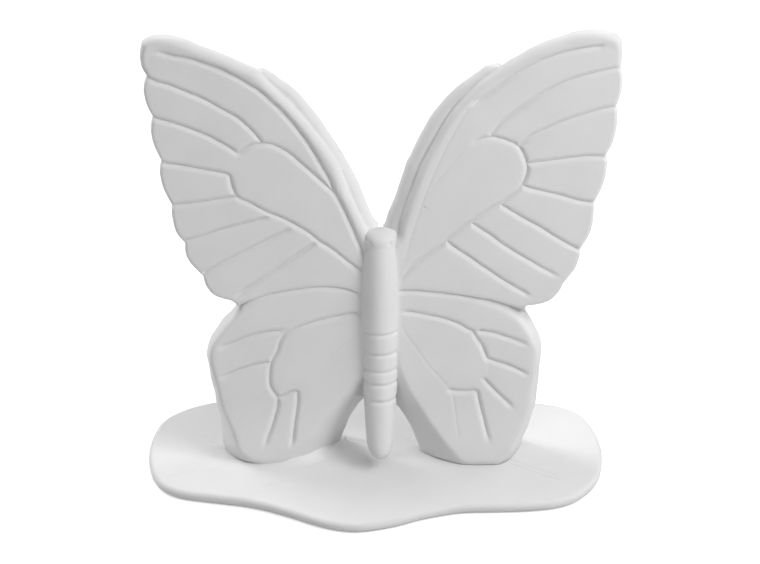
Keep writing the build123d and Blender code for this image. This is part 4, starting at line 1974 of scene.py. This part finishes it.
@dataclass(frozen=True)
class Studio:
    """The pale floor, the soft lamps and the camera.

    Attributes:
        lamps: The lamps.
        ambient: The strength of the even light of the room.
        floor_size: The length of the floor's sides, in metres.
        floor_drop: How far the floor lies below the slab, in metres.
        floor_tone: The linear lightness of the floor.
        floor_roughness: How matt it is.
        floor_glow: What makes it white to the camera.
        distance: How far the camera is, in metres.
        rise: How steeply it looks down, in degrees.
        aim: How far along the view's upright the middle of the picture lies above the feet.
        sensor_width: The width of the camera's sensor, in millimetres.
        picture_width: The width of the picture, in columns of the drawing.
    """

    lamps: tuple[Lamp, ...] = LAMPS
    ambient: float = 0.17
    floor_size: float = 12.0
    floor_drop: float = 0.0002
    floor_tone: float = 0.62
    floor_roughness: float = 0.9
    floor_glow: float = 0.6
    distance: float = 6.0
    rise: float = 28.0
    aim: float = 67.9
    sensor_width: float = 36.0
    picture_width: float = 760.0

    @staticmethod
    def seen(tree: bpy.types.NodeTree) -> bpy.types.NodeSocket:
        """Tell the rays that come from the camera, directly or by a mirror or a pane.

        Args:
            tree: The tree of a material or of the world.

        Returns:
            The socket that is 1 for those rays and 0 for all others.
        """
        path = tree.nodes.new("ShaderNodeLightPath")
        total = path.outputs["Is Camera Ray"]
        for label in ("Is Glossy Ray", "Is Transmission Ray"):
            add = tree.nodes.new("ShaderNodeMath")
            add.operation = "MAXIMUM"
            tree.links.new(total, add.inputs[0])
            tree.links.new(path.outputs[label], add.inputs[1])
            total = add.outputs[0]
        return total

    def floor(self) -> None:
        """Lay the floor, which is white to the camera but keeps the ornament's shadow."""
        bpy.ops.mesh.primitive_plane_add(size=self.floor_size, location=(0, 0, -self.floor_drop))
        floor = bpy.context.object
        floor.name = "floor"
        paint = bpy.data.materials.new("pale floor")
        paint.use_nodes = True
        tree = paint.node_tree
        shader = tree.nodes["Principled BSDF"]
        shader.inputs["Base Color"].default_value = (self.floor_tone, self.floor_tone, self.floor_tone, 1.0)
        shader.inputs["Roughness"].default_value = self.floor_roughness
        shader.inputs["Emission Color"].default_value = (1.0, 1.0, 1.0, 1.0)
        glow = tree.nodes.new("ShaderNodeMath")
        glow.operation = "MULTIPLY"
        glow.inputs[1].default_value = self.floor_glow
        tree.links.new(self.seen(tree), glow.inputs[0])
        tree.links.new(glow.outputs[0], shader.inputs["Emission Strength"])
        floor.data.materials.append(paint)

    def sky(self) -> None:
        """Fill the room with even light and keep it white behind the ornament."""
        world = bpy.data.worlds.new("studio")
        bpy.context.scene.world = world
        world.use_nodes = True
        tree = world.node_tree
        light = tree.nodes["Background"]
        light.inputs["Color"].default_value = (1.0, 1.0, 1.0, 1.0)
        blend = tree.nodes.new("ShaderNodeMix")
        blend.data_type = "FLOAT"
        blend.inputs["A"].default_value = self.ambient
        blend.inputs["B"].default_value = 1.0
        tree.links.new(self.seen(tree), blend.inputs["Factor"])
        tree.links.new(blend.outputs["Result"], light.inputs["Strength"])

    def camera(self, space: WingSpace) -> None:
        """Set up the camera.

        Args:
            space: The plane of the wings, from whose foot the picture is laid out.
        """
        rise = math.radians(self.rise)
        upright = Vector((0, math.sin(rise), math.cos(rise)))
        back = Vector((0, -math.cos(rise), math.sin(rise)))
        target = Vector((space.middle, space.foot, space.floor)) + upright * self.aim * MM
        data = bpy.data.cameras.new("camera")
        data.sensor_width = self.sensor_width
        data.lens = DRAWING.across / MM * self.distance * self.sensor_width / self.picture_width
        data.clip_end = 100.0
        thing = bpy.data.objects.new("camera", data)
        bpy.context.scene.collection.objects.link(thing)
        thing.location = target + back * self.distance
        thing.rotation_euler = (-back).to_track_quat("-Z", "Y").to_euler()
        bpy.context.scene.camera = thing

    def build(self, space: WingSpace) -> None:
        """Set up the whole studio.

        Args:
            space: The plane of the wings.
        """
        bpy.context.scene.view_settings.view_transform = "Standard"
        self.floor()
        self.sky()
        for lamp in self.lamps:
            lamp.hang()
        self.camera(space)


def main() -> None:
    """Build the ornament piece by piece, then the studio."""
    logging.basicConfig(level=logging.INFO, format="%(name)s: %(message)s")
    space = find_wing_space()
    clay = Bisque("white bisque").material()
    slip = Bisque("joining slip", tone=0.77, mottle=0.04).material()
    for wing in (LEFT_FOREWING, RIGHT_FOREWING):
        finish_piece(wing.build(space, clay), f"{wing.side.word}_forewing", clay)
    for wing in (LEFT_HINDWING, RIGHT_HINDWING):
        finish_piece(wing.build(space, clay), f"{wing.side.word}_hindwing", clay)
    finish_piece(Body().build(space, clay), "body", clay)
    finish_piece(SLAB.build(space, clay), "base_slab", clay)
    for skirt in (LEFT_SLIP, RIGHT_SLIP):
        finish_piece(skirt.build(space, SLAB), f"{skirt.side.word}_foot_slip", slip)
    Studio().build(space)


if __name__ == "__main__":
    main()
